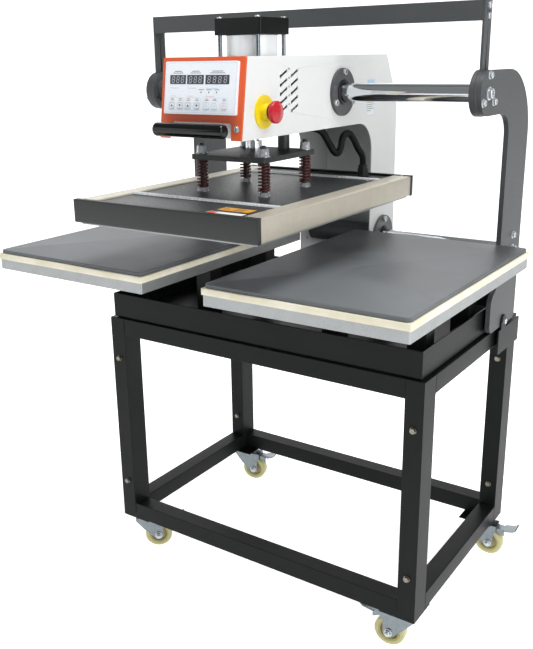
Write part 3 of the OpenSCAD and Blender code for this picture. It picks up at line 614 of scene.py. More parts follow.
def along_y(section, y0, y1):
    """An (x, z) section carried from y0 to y1."""
    rings = np.stack([np.column_stack([section[:, 0], np.full(len(section), y), section[:, 1]])
                      for y in (y0, y1)])
    return shell(rings)


def on_panel():
    """Where the shapes of the control panel go: the origin and basis of the sloping face."""
    return {"origin": FACE_ORIGIN, "basis": FACE}


def on_panel_at(x, y, z):
    """A point in mm on the sloping face, in the frame's metres."""
    return FACE_ORIGIN + np.array([x, y, z]) * MM @ FACE


def bead(start, end, radius=0.0026, pitch=0.003):
    """A weld bead: a small round whose radius swells and sinks once per pitch along the seam."""
    length = np.linalg.norm(end - start)
    share = np.linspace(0.0, 1.0, max(int(length / pitch * 6), 12))
    ends = np.minimum(1.0, 0.35 + 12 * np.minimum(share, 1 - share))
    swell = radius * (1.0 + 0.1 * np.sin(share * length / pitch * TAU)) * ends
    rounds = ring(1.0, 10)[None] * swell[:, None, None]
    up = Z_AXIS if abs((end - start)[2]) < 0.5 * length else X_AXIS
    return swept(rounds, start + (end - start) * share[:, None], up)


# ---------------------------------------------------------------- pieces

# Nodes that a finer piece stands for, so they aren't dressed.
REPLACED = {"foam_pads", "rubber_pads", "fasteners", "control_bezel", "handle_bar", "e_stop_button",
            "platen_springs", "spring_bolts", "platen_covers", "platen_rails", "platen_lead"}
REPLACED |= {f"wheel_{c}" for c in CORNERS}
# Edge radius of nodes that differ from the usual one, in metres; 0 leaves the mesh as it is.
EDGES = {"bed_plates": 0.0014, "slide_shafts": 0.0006, "cylinder_caps": 0.0016, "ram_rod": 0.0005,
         "membrane_panel": 0.0009, "display_windows": 0.0002, "e_stop_ring": 0.0006, "head_shell": 0.0011,
         "tie_rods": 0.0, "guide_rod": 0.0006, "front_frame": 0.0022, "rear_frame": 0.0016,
         "side_rails": 0.0022, "base_tray": 0.0015, "bed_supports": 0.0025, "left_arm": 0.0007,
         "right_arm": 0.0007, "platen_panel": 0.0004, "lead_gland": 0.0005, "caster_plates": 0.0005}
EDGES |= {f"fork_{c}": 0.0004 for c in CORNERS}
EDGES |= {f"pedal_{c}": 0.0006 for c in CORNERS}
EDGES |= {f"key_{i}": 0.0007 for i in range(1, 8)}
# Nodes whose finish differs from the others in their slot.
NODE_FINISH = {"spring_plate": "cover_grey"}
# Slots whose finish goes by another name.
SLOT_FINISH = {"silicone": "rubber"}

# Places in mm. The two shafts: y, z, and their radius in metres.
SHAFTS = ((219, 1134, 0.018), (424, 796, 0.015))
# Where three screws sit round a flange.
SCREW_ANGLES = tuple(math.radians(a) for a in (90, 210, 330))
# Outer face of the arms' flanges, from the middle.
ARM_FACE = 408
# The four springs' axes.
SPRINGS = tuple((x, y) for x in (-74, 74) for y in (-42, 106))
# The beds' middles, to each side, which is also how far the head slides.
BED_X = 273
# Height of the platen's top sheet.
SHEET = 952


class HEATPRESS_OT_dress_frame(bpy.types.Operator):
    """Give every frame node its finish and softened edges"""
    bl_idname = "heatpress.dress_frame"
    bl_label = "Dress the frame"

    def execute(self, context):
        for part in frame["record"]["subparts"]:
            if part["node"] not in REPLACED:
                look = NODE_FINISH.get(part["node"], part["material_slot"])
                dress(part["node"], SLOT_FINISH.get(look, look), EDGES.get(part["node"]))
        return {"FINISHED"}


class HEATPRESS_OT_stand_details(bpy.types.Operator):
    """Add the stand's hexagon bolts and weld beads"""
    bl_idname = "heatpress.stand_details"
    bl_label = "Bolts and welds of the stand"

    def execute(self, context):
        bolts = []
        beads = []
        for side in (-1, 1):
            for y, z in ((0, 196), (0, 523), (470, 196), (470, 523)):
                bolts += hex_head(at(side * 380, y, z), -Y_AXIS, 0.0105, 0.0042)
            for y in (0, 484):
                for z in (138, 584):
                    beads.append(bead(at(side * 360, y + 3, z), at(side * 360, y + 37, z)))
                    beads.append(bead(at(side * 360, y, z - 27 if z < 300 else z + 2),
                                      at(side * 360, y, z - 3 if z < 300 else z + 37), 0.0012))
        piece("stand_bolts", bolts, "bolt_steel", "stand", ["fasteners"])
        piece("stand_welds", beads, "powder_black", "stand", sharp=60.0)
        return {"FINISHED"}


class HEATPRESS_OT_arm_screws(bpy.types.Operator):
    """Add the socket screws that hold the shaft flanges, the uprights and the tie brackets"""
    bl_idname = "heatpress.arm_screws"
    bl_label = "Screws of the arms"

    def execute(self, context):
        heads = []
        for side in (-1, 1):
            out = side * X_AXIS
            for y, z, _ in SHAFTS:
                for a in SCREW_ANGLES:
                    spot = at(side * ARM_FACE, y + 33 * math.cos(a), z + 33 * math.sin(a))
                    heads.append(socket_screw(spot, out, 0.0062, 0.006, 0.006))
                    heads.append(washer(spot, out, 0.0082, 0.0011))
                middle = at(side * ARM_FACE, y, z)
                heads.append(socket_screw(middle, out, 0.0095, 0.0085, 0.010))
                heads.append(washer(middle, out, 0.0128, 0.0015, 0.0006))
            heads.append(socket_screw(at(side * 412, 397, 640), out, 0.006, 0.005, 0.005))
            for z in (1272, 1290):
                heads.append(socket_screw(at(side * 398, 219, z), out, 0.006, 0.0038, 0.005))
        piece("arm_screws", heads, "bright_zinc", "stand", ["fasteners"])
        return {"FINISHED"}


class HEATPRESS_OT_bed_pads(bpy.types.Operator):
    """Lay the foam and rubber pads on both beds"""
    bl_idname = "heatpress.bed_pads"
    bl_label = "Pads of the beds"

    def execute(self, context):
        for side, word in ((-1, "left"), (1, "right")):
            middle = at(side * BED_X, 43.5, 0)
            cut = self.wavy(round_rect(-0.202, -0.2865, 0.202, 0.2865, 0.002, 6), 160)
            foam = slab(cut, 0.805, 0.817, 0.0003, 0.0003, 2, origin=middle)
            sheet = round_rect(-0.198, -0.2825, 0.198, 0.2825, 0.009, 10)
            rubber = slab(sheet, 0.817, 0.825, 0.0008, 0.0016, 5, origin=middle)
            piece(f"foam_{word}", [foam], "foam", "stand", ["foam_pads"],
                            sharp=50.0)
            piece(f"rubber_{word}", [rubber], "rubber", "stand", ["rubber_pads"],
                            sharp=50.0)
        return {"FINISHED"}

    def wavy(self, outline, count):
        """The outline resampled evenly by length, pushed in and out 0.25 mm by two slow sines."""
        closed = np.concatenate([outline, outline[:1]])
        reach = np.concatenate([[0.0], np.cumsum(np.linalg.norm(np.diff(closed, axis=0), axis=1))])
        step = np.unique(np.concatenate([np.linspace(0, reach[-1], count, endpoint=False), reach[:-1]]))
        points = np.stack([np.interp(step, reach, closed[:, 0]), np.interp(step, reach, closed[:, 1])], 1)
        push = 0.00025 * (np.sin(step * 55.0) + 0.6 * np.sin(step * 131.0 + 1.0))
        return points + push[:, None] * np.sign(points) * (np.abs(points) > [0.19, 0.27])


class HEATPRESS_OT_bearing_details(bpy.types.Operator):
    """Add the screws of the bearing flanges and the wiper seals round the shafts"""
    bl_idname = "heatpress.bearing_details"
    bl_label = "Screws and seals of the bearings"

    def execute(self, context):
        heads = []
        seals = []
        for side in (-1, 1):
            out = side * X_AXIS
            for y, z, shaft in SHAFTS:
                for a in SCREW_ANGLES:
                    spot = at(side * 100, y + 40 * math.cos(a), z + 40 * math.sin(a))
                    heads.append(socket_screw(spot, out, 0.0063, 0.0052, 0.006))
                section = [(shaft + 0.0002, 0.0), (shaft + 0.0075, 0.0), (shaft + 0.0075, 0.0016),
                           (shaft + 0.006, 0.0026), (shaft + 0.0012, 0.0026)]
                seals.append(loop(section, origin=at(side * 100, y, z), basis=axis_basis(out)))
        piece("bearing_screws", heads, "bright_zinc", "head")
        piece("wiper_seals", seals, "nylon_black", "head")
        return {"FINISHED"}


class HEATPRESS_OT_bezel(bpy.types.Operator):
    """Build the orange bezel, its backing sheet and its two screws"""
    bl_idname = "heatpress.bezel"
    bl_label = "Panel bezel"

    def execute(self, context):
        half, length, notch_x, notch_y, r = 0.0938, 0.1452, 0.070, 0.031, 0.006
        outline = np.concatenate([
            arc_points(half - 0.003, 0.003, 0.003, -90, 0, 5),
            arc_points(half - 0.003, length - 0.003, 0.003, 0, 90, 5),
            arc_points(0.003 - half, length - 0.003, 0.003, 90, 180, 5),
            arc_points(0.003 - half, 0.003, 0.003, 180, 270, 5),
            [[-notch_x - 0.001, 0.0]],
            arc_points(-notch_x + r, notch_y - r, r, 180, 90, 6),
            arc_points(notch_x - r, notch_y - r, r, 90, 0, 6),
            [[notch_x + 0.001, 0.0]]])
        piece("bezel_plate", [slab(outline, 0.0, 0.004, 0.0003, 0.0007, 3, **on_panel())], "bezel_orange",
              "head", ["control_bezel"], sharp=40.0)
        sheet = round_rect(-0.0912, 0.004, 0.0912, 0.1372, 0.002, 4)
        piece("bezel_backing", [slab(sheet, -0.002, -0.0001, 0.0003, 0.0003, 2, **on_panel())], "head_white",
              "head", ["control_bezel"])
        screws = []
        for x in (-82, 82):
            screws.append(socket_screw(on_panel_at(x, 20, 4), FACE_Z, 0.0046, 0.0032, 0.004))
            screws.append(washer(on_panel_at(x, 20, 4), FACE_Z, 0.0062, 0.001))
        piece("bezel_screws", screws, "bright_zinc", "head", ["control_bezel"])
        return {"FINISHED"}


class HEATPRESS_OT_panel_print(bpy.types.Operator):
    """Print the membrane's lines and symbols, and set the displays' segments and lamps"""
    bl_idname = "heatpress.panel_print"
    bl_label = "Print of the panel"

    WINDOWS = ((-70, 37, 3), (-30, 38, 3), (12, 53, 4))
    KEYS = (-63, -44, -25, -5, 17, 35, 56)
    LAMPS = (3.5, 21.0, 38.5)
    # Height of the membrane's face, thickness of the ink, height of the windows and of the keys.
    TOP = 0.010
    INK = 0.00008
    GLASS = 0.0004
    KEY_RISE = 0.0012

    def execute(self, context):
        self.segments()
        self.lines()
        self.lamps()
        self.symbols()
        return {"FINISHED"}

    def segments(self):
        """Seven bars per digit, each a hexagon longer than wide, all leaning 6 degrees."""
        bars = []
        for x, width, count in self.WINDOWS:
            pitch = (width - 5.0) / count
            for i in range(count):
                centre = np.array([x + 2.5 + pitch * (i + 0.5), 105.0])
                w, h = 5.4, 10.6
                places = [(0, h / 2, w, 0), (0, 0, w, 0), (0, -h / 2, w, 0), (-w / 2, h / 4, h / 2, 1),
                          (w / 2, h / 4, h / 2, 1), (-w / 2, -h / 4, h / 2, 1), (w / 2, -h / 4, h / 2, 1)]
                for dx, dy, length, upright in places:
                    l, t = length / 2 - 0.35, 0.6
                    hexagon = np.array([[-l, 0], [-l + t, -t], [l - t, -t], [l, 0], [l - t, t], [-l + t, t]])
                    if upright:
                        hexagon = np.stack([-hexagon[:, 1], hexagon[:, 0]], 1)
                    hexagon = hexagon + [dx, dy]
                    hexagon[:, 0] += hexagon[:, 1] * math.tan(math.radians(6.0))
                    bars.append(flat((hexagon + centre) * MM, self.TOP + self.GLASS,
                                     self.TOP + self.GLASS + self.INK, **on_panel()))
        piece("display_segments", bars, "led_segment", "head")

    def bar(self, x0, y0, x1, y1, r=0.0002, count=2):
        """A printed stroke between two corners given in mm on the panel."""
        outline = round_rect(x0 * MM, y0 * MM, x1 * MM, y1 * MM, r, count)
        return flat(outline, self.TOP, self.TOP + self.INK, **on_panel())

    def border(self, outer, width):
        """A printed line of the width along the inside of an outline."""
        return band(outer, inset(outer, width), self.TOP, self.TOP + self.INK, **on_panel())

    def lines(self):
        """Pale strokes round each group of keys, and a short bar under each window."""
        strokes = []
        warm = []
        for x0, x1 in ((-71, -36), (-33, 3), (9, 64)):
            strokes.append(self.border(round_rect(x0 * MM, 0.0505, x1 * MM, 0.0735, 0.003), 0.0005))
        for x, width, _ in self.WINDOWS:
            strokes.append(self.bar(x + 2, 89.5, x + width * 0.55, 90.7, 0.0005, 3))
            warm.append(self.bar(x + 2, 75.5, x + width * 0.4, 76.3, 0.0003, 3))
        strokes.append(self.border(round_rect(-0.0795, 0.0465, 0.0795, 0.1345, 0.003), 0.0004))
        legends = []
        for x, width, _ in self.WINDOWS:
            for y, share in ((116.5, 0.62), (119.6, 0.46)):
                middle = x + width / 2
                reach = share * width / 2
                legends.append(self.bar(middle - reach, y - 0.5, middle + reach, y + 0.5, 0.0003))
        for x in self.KEYS:
            for y, half in ((68.6, 4.5), (71.0, 3.2)):
                legends.append(self.bar(x - half, y - 0.4, x + half, y + 0.4))
        for x in self.LAMPS:
            legends.append(self.bar(x - 6, 86.8, x + 6, 87.7))
        piece("panel_legends", legends, "print_dark", "head")
        piece("panel_lines", strokes, "print_blue", "head")
        piece("panel_marks", warm, "print_red", "head")

    def lamps(self):
        """Three small dark lamps, each in a pale ring."""
        domes = []
        rims = []
        for x in self.LAMPS:
            spot = {"origin": on_panel_at(x, 83, 10), "basis": FACE}
            domes.append(turned([(0.0013, 0.0), (0.0013, 0.0003), (0.001, 0.0007), (0.0005, 0.0009)], 24,
                                **spot))
            rims.append(turned([(0.0024, 0.0), (0.0024, 0.0002), (0.0021, 0.0003)], 24, **spot))
        piece("lamp_domes", domes, "print_dark", "head")
        piece("lamp_rims", rims, "key_white", "head")

    def symbols(self):
        """Raised marks on the keys: four triangles, a bar pair, a ring, and a broken ring with a stem."""
        z0 = self.TOP + self.KEY_RISE
        z1 = z0 + 0.0001
        triangle = np.array([[-2.6, -1.9], [2.6, -1.9], [0.0, 2.3]]) * MM
        for i, x in enumerate(self.KEYS):
            spot = {"origin": on_panel_at(x, 59, 0), "basis": FACE}
            if i < 4:
                shape = triangle if i % 2 == 0 else triangle[::-1] * [1, -1]
                marks = [flat(shape, z0, z1, **spot)]
            elif i == 4:
                marks = [flat(round_rect(u - 0.0005, -0.002, u + 0.0005, 0.002, 0.0003, 2), z0, z1, **spot)
                         for u in (-0.0012, 0.0012)]
            elif i == 5:
                marks = [band(ring(0.0023, 32), ring(0.0017, 32), z0, z1, **spot)]
            else:
                round_ = arc_points(0, 0, 0.0023, 120, 420, 24)
                inner = arc_points(0, 0, 0.0017, 120, 420, 24)[::-1]
                marks = [flat(np.concatenate([round_, inner]), z0, z1, **spot),
                         flat(round_rect(-0.0003, 0.0004, 0.0003, 0.0028, 0.0002, 2), z0, z1, **spot)]
            rim = round_rect(-0.0055, -0.005, 0.0055, 0.005, 0.002)
            marks.append(band(rim, inset(rim, 0.0003), z0, z1, **spot))
            ink = "print_red" if i == 6 else "print_dark" if i < 4 else "print_blue"
            piece(f"symbol_{i + 1}", marks, ink, f"key_{i + 1}")


class HEATPRESS_OT_side_label(bpy.types.Operator):
    """Stick the blank label with a blue border on the right side plate"""
    bl_idname = "heatpress.side_label"
    bl_label = "Side label"

    def execute(self, context):
        spot = {"origin": at(94, 352, 1117), "basis": axis_basis(X_AXIS)}
        outline = round_rect(-0.0405, -0.02, 0.0405, 0.02, 0.0015, 4)
        paper = flat(outline, -0.0001, 0.00012, **spot)
        rim = inset(outline, 0.001)
        prints = [band(rim, inset(rim, 0.0012), 0.0001, 0.00018, **spot)]
        prints += [flat(round_rect(x - half, -0.0165, x + half, 0.0165, 0.0004, 2), 0.0001, 0.00018, **spot)
                   for x, half in ((-0.034, 0.0035), (0.002, 0.0035))]
        columns = ((0.010, 0.012), (0.0145, 0.016), (0.019, 0.009), (0.0235, 0.014), (0.028, 0.0))
        lines = [flat(round_rect(x - 0.0005, -0.0165, x + 0.0005, reach, 0.0002, 2), 0.0001, 0.00018, **spot)
                 for x, reach in columns]
        piece("side_label", [paper], "white_label", "head")
        piece("side_label_border", prints, "print_blue", "head")
        piece("side_label_lines", lines, "print_dark", "head")
        return {"FINISHED"}


class HEATPRESS_OT_handle(bpy.types.Operator):
    """Build the round handle bar on its two posts"""
    bl_idname = "heatpress.handle"
    bl_label = "Handle bar"

    def execute(self, context):
        half, r, edge = 0.080, 0.0125, 0.0055
        corner = arc_points(r - edge, half - edge, edge, 0, 90, 8)
        profile = np.concatenate([[[0.0, -half]], corner[::-1] * [1, -1], corner, [[0.0, half]]])
        bar = turned(profile.tolist(), 64, origin=on_panel_at(0, 14, 34), basis=axis_basis(X_AXIS))
        posts = [turned([(0.0085, 0.0), (0.0085, 0.003), (0.0068, 0.005), (0.0068, 0.034)],
                        origin=on_panel_at(x, 14, 0), basis=FACE) for x in (-50, 50)]
        piece("handle", [bar] + posts, "gloss_black", "head", ["handle_bar"], sharp=50.0)
        return {"FINISHED"}


class HEATPRESS_OT_e_stop(bpy.types.Operator):
    """Build the red mushroom head and the collar round its stem"""
    bl_idname = "heatpress.e_stop"
    bl_label = "Emergency stop"

    def execute(self, context):
        spot = {"origin": at(94, -70, 1111), "basis": axis_basis(X_AXIS)}
        dome = arc_points(0.0, -0.0125, 0.0465, 90, 67, 8)[::-1]
        # The underside is hollow round the stem, so that it clears the collar when it is pressed.
        profile = [(0.008, -0.004), (0.008, 0.0246), (0.0152, 0.0246), (0.0152, 0.021), (0.0175, 0.021),
                   (0.0192, 0.0219), (0.02, 0.0238), (0.02, 0.0292), (0.0193, 0.0304)]
        profile += [(x, y) for x, y in dome if x < 0.0188]
        piece("stop_button", [turned(profile, 64, **spot)], "stop_red", "e_stop",
              ["e_stop_button"], sharp=40.0)
        collar = loop([(0.0082, 0.016), (0.0142, 0.016), (0.0142, 0.0185), (0.0128, 0.0198),
                       (0.0082, 0.0198)], **spot)
        piece("stop_collar", [collar], "nylon_black", "head")
        return {"FINISHED"}


class HEATPRESS_OT_cylinder_details(bpy.types.Operator):
    """Add the screws, port plugs and gaskets of the air cylinder"""
    bl_idname = "heatpress.cylinder_details"
    bl_label = "Screws and gaskets of the cylinder"

    def execute(self, context):
        screws = []
        gaskets = []
        for x in (-44, 44):
            for y in (-12, 76):
                screws.append(socket_screw(at(x, y, 1277), Z_AXIS, 0.0052, 0.0028, 0.005))
        screws.append(socket_screw(at(0, 82, 1262), Y_AXIS, 0.0065, 0.0016, 0.005))
        screws.append(socket_screw(at(54, 32, 1106), X_AXIS, 0.0065, 0.0016, 0.005))
        for z in (1118, 1245.9):
            gaskets.append(loop([(0.048, 0.0), (0.0498, 0.0), (0.0498, 0.0011), (0.048, 0.0011)],
                                origin=at(0, 32, z)))
        piece("cylinder_screws", screws, "bright_zinc", "head")
        piece("cylinder_gaskets", gaskets, "nylon_black", "head")
        return {"FINISHED"}


class HEATPRESS_OT_springs(bpy.types.Operator):
    """Wind the four die springs over the platen"""
    bl_idname = "heatpress.springs"
    bl_label = "Die springs"

    def execute(self, context):
        low, high = 0.9602, 1.0158
        wire = sizes().spring_wire
        turns = sizes().spring_turns
        section = round_rect(-0.0021, -wire / 2, 0.0021, wire / 2, 0.0007, 3)
        share = np.linspace(0.0, 1.0, int(turns * 40))
        turn = share * turns
        # Rise per turn: the wire's own height on the closed end turns, and the rest shared between.
        dead = 1.0
        coil = 0.0098
        rise = np.interp(turn, [0.0, dead, turns - dead, turns],
                         [low + wire / 2, low + wire * 1.5, high - wire * 1.5, high - wire / 2])
        for x, y in SPRINGS:
            # Each spring starts its wire at its own angle.
            angle = turn * TAU + 0.7 * x + 0.3 * y
            side = np.stack([np.cos(angle), np.sin(angle), np.zeros_like(angle)], 1)
            helix = coil * side + rise[:, None] * Z_AXIS + at(x, y, 0)
            rings = helix[:, None] + section[None, :, 0, None] * side[:, None]
            rings = rings + section[None, :, 1, None] * Z_AXIS
            name = f"spring_{'l' if x < 0 else 'r'}{'f' if y < 0 else 'b'}"
            spring = piece(name, [shell(rings)], "spring_red", "ram", ["platen_springs"],
                           sharp=50.0)
            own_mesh(spring)
        return {"FINISHED"}


class HEATPRESS_OT_spring_studs(bpy.types.Operator):
    """Turn the four threaded studs with their nuts and washers"""
    bl_idname = "heatpress.spring_studs"
    bl_label = "Studs of the springs"

    def execute(self, context):
        nuts = []
        rods = []
        pitch = 0.00125
        heights = np.arange(0.9605, 1.0455, pitch / 2)
        thread = [(0.005 if i % 2 else 0.0044, z) for i, z in enumerate(heights)]
        profile = [(0.0046, 0.925)] + thread + [(0.0036, 1.0475)]
        for x, y in SPRINGS:
            spot = at(x, y, 0)
            rods.append(turned(profile, 24, origin=spot))
            nuts += hex_head(at(x, y, SHEET), Z_AXIS, 0.018, 0.0062)
            nuts += hex_head(at(x, y, 1026.5), Z_AXIS, 0.018, 0.0082)
            nuts += hex_head(at(x, y, 1036.3), Z_AXIS, 0.017, 0.0058, seat=False)
        piece("spring_studs", rods, "bearing_grey", "platen", ["spring_bolts"], sharp=40.0)
        piece("spring_nuts", nuts, "bright_zinc", "platen", ["spring_bolts"], sharp=40.0)
        return {"FINISHED"}


class HEATPRESS_OT_platen(bpy.types.Operator):
    """Fold the platen's side rails and end covers, and add its trims, screws and blank labels"""
    bl_idname = "heatpress.platen"
    bl_label = "Platen sheets"

    def execute(self, context):
        top, low = 0.955, 0.913
        front, back = at(0, -264, 0)[1], at(0, 331, 0)[1]
        rails = []
        for side in (-1, 1):
            wall = side * 0.2091
            line = np.array([[side * 0.170, low + 0.042 - 0.0045], [side * 0.170, top - 0.0009],
                             [wall, top - 0.0009], [wall, low + 0.0009], [side * 0.196, low + 0.0009]])
            rails.append(along_y(folded(line, 0.0018, 0.0022), front + 0.006, back - 0.006))
        piece("side_rails_folded", rails, "beige_steel", "platen", ["platen_rails"],
              sharp=40.0)
        covers = []
        for y, inward in ((front, 1), (back, -1)):
            line = np.array([[y + inward * 0.012, top + 0.0008], [y + inward * 0.0009, top + 0.0008],
                             [y + inward * 0.0009, low], [y + inward * 0.007, low]])
            covers.append(along_x(folded(line, 0.0016, 0.0024), -0.2102, 0.2102))
            for side in (-1, 1):
                x0, x1 = sorted((side * 0.2102, side * 0.2114))
                y0, y1 = sorted((y + inward * 0.0002, y + inward * 0.0095))
                covers.append(block((x0, y0, low), (x1, y1, top + 0.0012), 0.0004))
        piece("end_covers", covers, "cover_grey", "platen", ["platen_covers"], sharp=40.0)
        trims = []
        for y in (-140, 247):
            section = arc_points(0.0, 0.0, 0.0045, 0, 180, 14)
            spot = at(0, y, 0)[1]
            trims.append(along_x(section + [spot, 0.9526], -0.1735, 0.1735))
        piece("panel_trims", trims, "trim", "platen", ["platen_covers"], sharp=50.0)
        screws = []
        for x in (-190, 190):
            for y in (-252, 319):
                screws.append(socket_screw(at(x, y, 955.1), Z_AXIS, 0.0032, 0.0014, 0.0025))
        for x in (-150, 150):
            for y in (-130, 237):
                screws.append(socket_screw(at(x, y, SHEET), Z_AXIS, 0.003, 0.0013, 0.0025))
        piece("platen_screws", screws, "bright_zinc", "platen")
        amber = slab(round_rect(-0.034, -0.014, 0.034, 0.014, 0.002), 0.0, 0.00025, 0.0001, 0.0001, 2,
                     origin=at(116, -190, SHEET))
        white = slab(round_rect(-0.038, -0.009, 0.038, 0.009, 0.002), 0.0, 0.00025, 0.0001, 0.0001, 2,
                     origin=at(118, -226, SHEET))
        dark = [band(ring(0.0075, 3), ring(0.0045, 3), 0.00025, 0.00032, origin=at(96, -190, SHEET))]
        dark += [flat(round_rect(-0.012, -0.0008, 0.012, 0.0008, 0.0003, 2), 0.00025, 0.00032,
                      origin=at(124, y, SHEET)) for y in (-198, -193, -188, -183)]
        piece("sticker_marks", dark, "print_dark", "platen")
        orange = flat(round_rect(-0.009, -0.007, 0.009, 0.007, 0.001, 3), 0.00025, 0.00032,
                      origin=at(90, -226, SHEET))
        piece("sticker_patch", [orange], "bezel_orange", "platen")
        piece("amber_sticker", [amber], "amber_label", "platen")
        piece("white_sticker", [white], "white_label", "platen")
        return {"FINISHED"}


class HEATPRESS_OT_lead(bpy.types.Operator):
    """Sweep the sleeved lead from the head to the platen, with its bush and clamp ring"""
    bl_idname = "heatpress.lead"
    bl_label = "Platen lead"

    ROUTE = ((38, 140, 1094), (38, 140, 1082), (39, 142, 1074), (45, 154, 1066), (56, 175, 1062),
             (64, 190, 1055), (69, 199, 1042), (74, 209, 1025), (79, 218, 1011), (83, 226, 1008),
             (86, 232, 1017), (87.5, 235, 1033), (90.5, 241, 1045), (96, 252, 1047), (101.5, 262, 1035),
             (106.5, 272, 1016), (111.5, 282, 1001), (113, 285, 990), (113, 285, 974))
    SPAN = 16
    # The tail runs from this point of the route.
    TAIL = 16
    BUSH, JOIN, GLAND = 1082, 1001, 984

    def execute(self, context):
        path = spline([at(*p) for p in self.ROUTE], self.SPAN)
        reach = np.concatenate([[0.0], np.cumsum(np.linalg.norm(np.diff(path, axis=0), axis=1))])
        radius = 0.0075 - sizes().lead_ripple * (0.5 + 0.5 * np.cos(reach / 0.0026 * TAU))
        rounds = ring(1.0, 28)[None] * radius[:, None, None]
        low = self.TAIL * self.SPAN
        tube = piece("lead_tube", [swept(rounds[:low + 1], path[:low + 1], X_AXIS)], "sleeve", None,
                     ["platen_lead"], sharp=70.0)
        at(38, 140, self.BUSH)
        at(38, 140, self.JOIN)
        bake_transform(tube)
        tail = piece("lead_tail", [swept(rounds[low:], path[low:], X_AXIS)], "sleeve", None,
                     ["platen_lead"], sharp=70.0)
        at(38, 140, self.JOIN)
        at(38, 140, self.GLAND)
        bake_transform(tail)
        bush = loop([(0.0079, 0.0), (0.0125, 0.0), (0.0125, 0.003), (0.0108, 0.0095), (0.0079, 0.0095)],
                    origin=at(38, 140, 1082), basis=axis_basis(-Z_AXIS))
        piece("lead_bush", [bush], "nylon_black", "head")
        clamp = loop([(0.0079, 0.0), (0.0128, 0.0), (0.0128, 0.0035), (0.0108, 0.005), (0.0079, 0.005)],
                     origin=at(113, 285, SHEET))
        piece("gland_washer", [clamp], "nylon_black", "platen")
        return {"FINISHED"}


class HEATPRESS_OT_casters(bpy.types.Operator):
    """Turn the casters' tyres, hubs, dome nuts and race rims"""
    bl_idname = "heatpress.casters"
    bl_label = "Caster wheels"

    def execute(self, context):
        r, half, edge = 0.034, 0.012, 0.0045
        shoulder = arc_points(half - edge, r - edge, edge, 90, 0, 8)
        tyre = [(y, x) for x, y in shoulder] + [(0.0245, half - 0.0004), (0.0245, 0.0004 - half)]
        tyre += [(y, -x) for x, y in shoulder[::-1]]
        hub = [(0.00415, -0.0134), (0.009, -0.0134), (0.01, -0.0124), (0.0106, -0.0056), (0.0186, -0.0048),
               (0.0202, -0.0104), (0.0245, -0.0114), (0.0245, 0.0114), (0.0202, 0.0104), (0.0186, 0.0048),
               (0.0106, 0.0056), (0.01, 0.0124), (0.009, 0.0134), (0.00415, 0.0134)]
        rims = []
        bolts = []
        for corner in CORNERS:
            spin = JOINTS[f"spin_{corner}"]
            axis = np.array(spin["axis"], float)
            spot = {"origin": joint_origin(f"spin_{corner}"), "basis": axis_basis(axis)}
            piece(f"tyre_{corner}", [loop(tyre, **spot)], "pu_wheel", f"wheel_{corner}",
                  [f"wheel_{corner}"], sharp=50.0)
            piece(f"hub_{corner}", [loop(hub, **spot)], "nylon_core", f"wheel_{corner}",
                  [f"wheel_{corner}"], sharp=35.0)
            nuts = []
            for way in (-1, 1):
                out = axis * way
                centre = spot["origin"] + out * 0.017
                nuts += hex_head(centre, out, 0.014, 0.0048)
                dome = [(0.0058, 0.0062), (0.0057, 0.0074), (0.0046, 0.0092), (0.0024, 0.0103)]
                nuts.append(turned(dome, 32, origin=centre, basis=axis_basis(out)))
            piece(f"axle_nuts_{corner}", nuts, "bright_zinc", f"fork_{corner}")
            swivel = joint_origin(f"swivel_{corner}")
            middle = np.array([swivel[0], swivel[1], 0.0])
            rims.append(loop([(0.0205, 0.0846), (0.0238, 0.0846), (0.0246, 0.0858), (0.0246, 0.0878),
                              (0.0232, 0.0895), (0.0205, 0.09)], origin=middle))
            for x in (-0.0235, 0.0235):
                for y in (-0.0235, 0.0235):
                    bolts += hex_head(middle + [x, y, 0.0919], -Z_AXIS, 0.0085, 0.0036)
        piece("race_rims", rims, "zinc", "stand")
        piece("caster_bolts", bolts, "bright_zinc", "stand")
        return {"FINISHED"}


# ---------------------------------------------------------------- stage

def area_light(name, spot, target, size, power):
    """A soft square light at a spot, turned to face a target."""
    light = bpy.data.lights.new(name, "AREA")
    light.shape = "RECTANGLE"
    light.size, light.size_y = size
    light.energy = power
    obj = bpy.data.objects.new(name, light)
    bpy.context.scene.collection.objects.link(obj)
    look = (np.array(target) - np.array(spot)) / np.linalg.norm(np.array(target) - np.array(spot))
    basis = axis_basis(-look)
    obj.matrix_world = Matrix([[*basis[:, i], spot[i]] for i in range(3)] + [[0, 0, 0, 1]])
    return obj


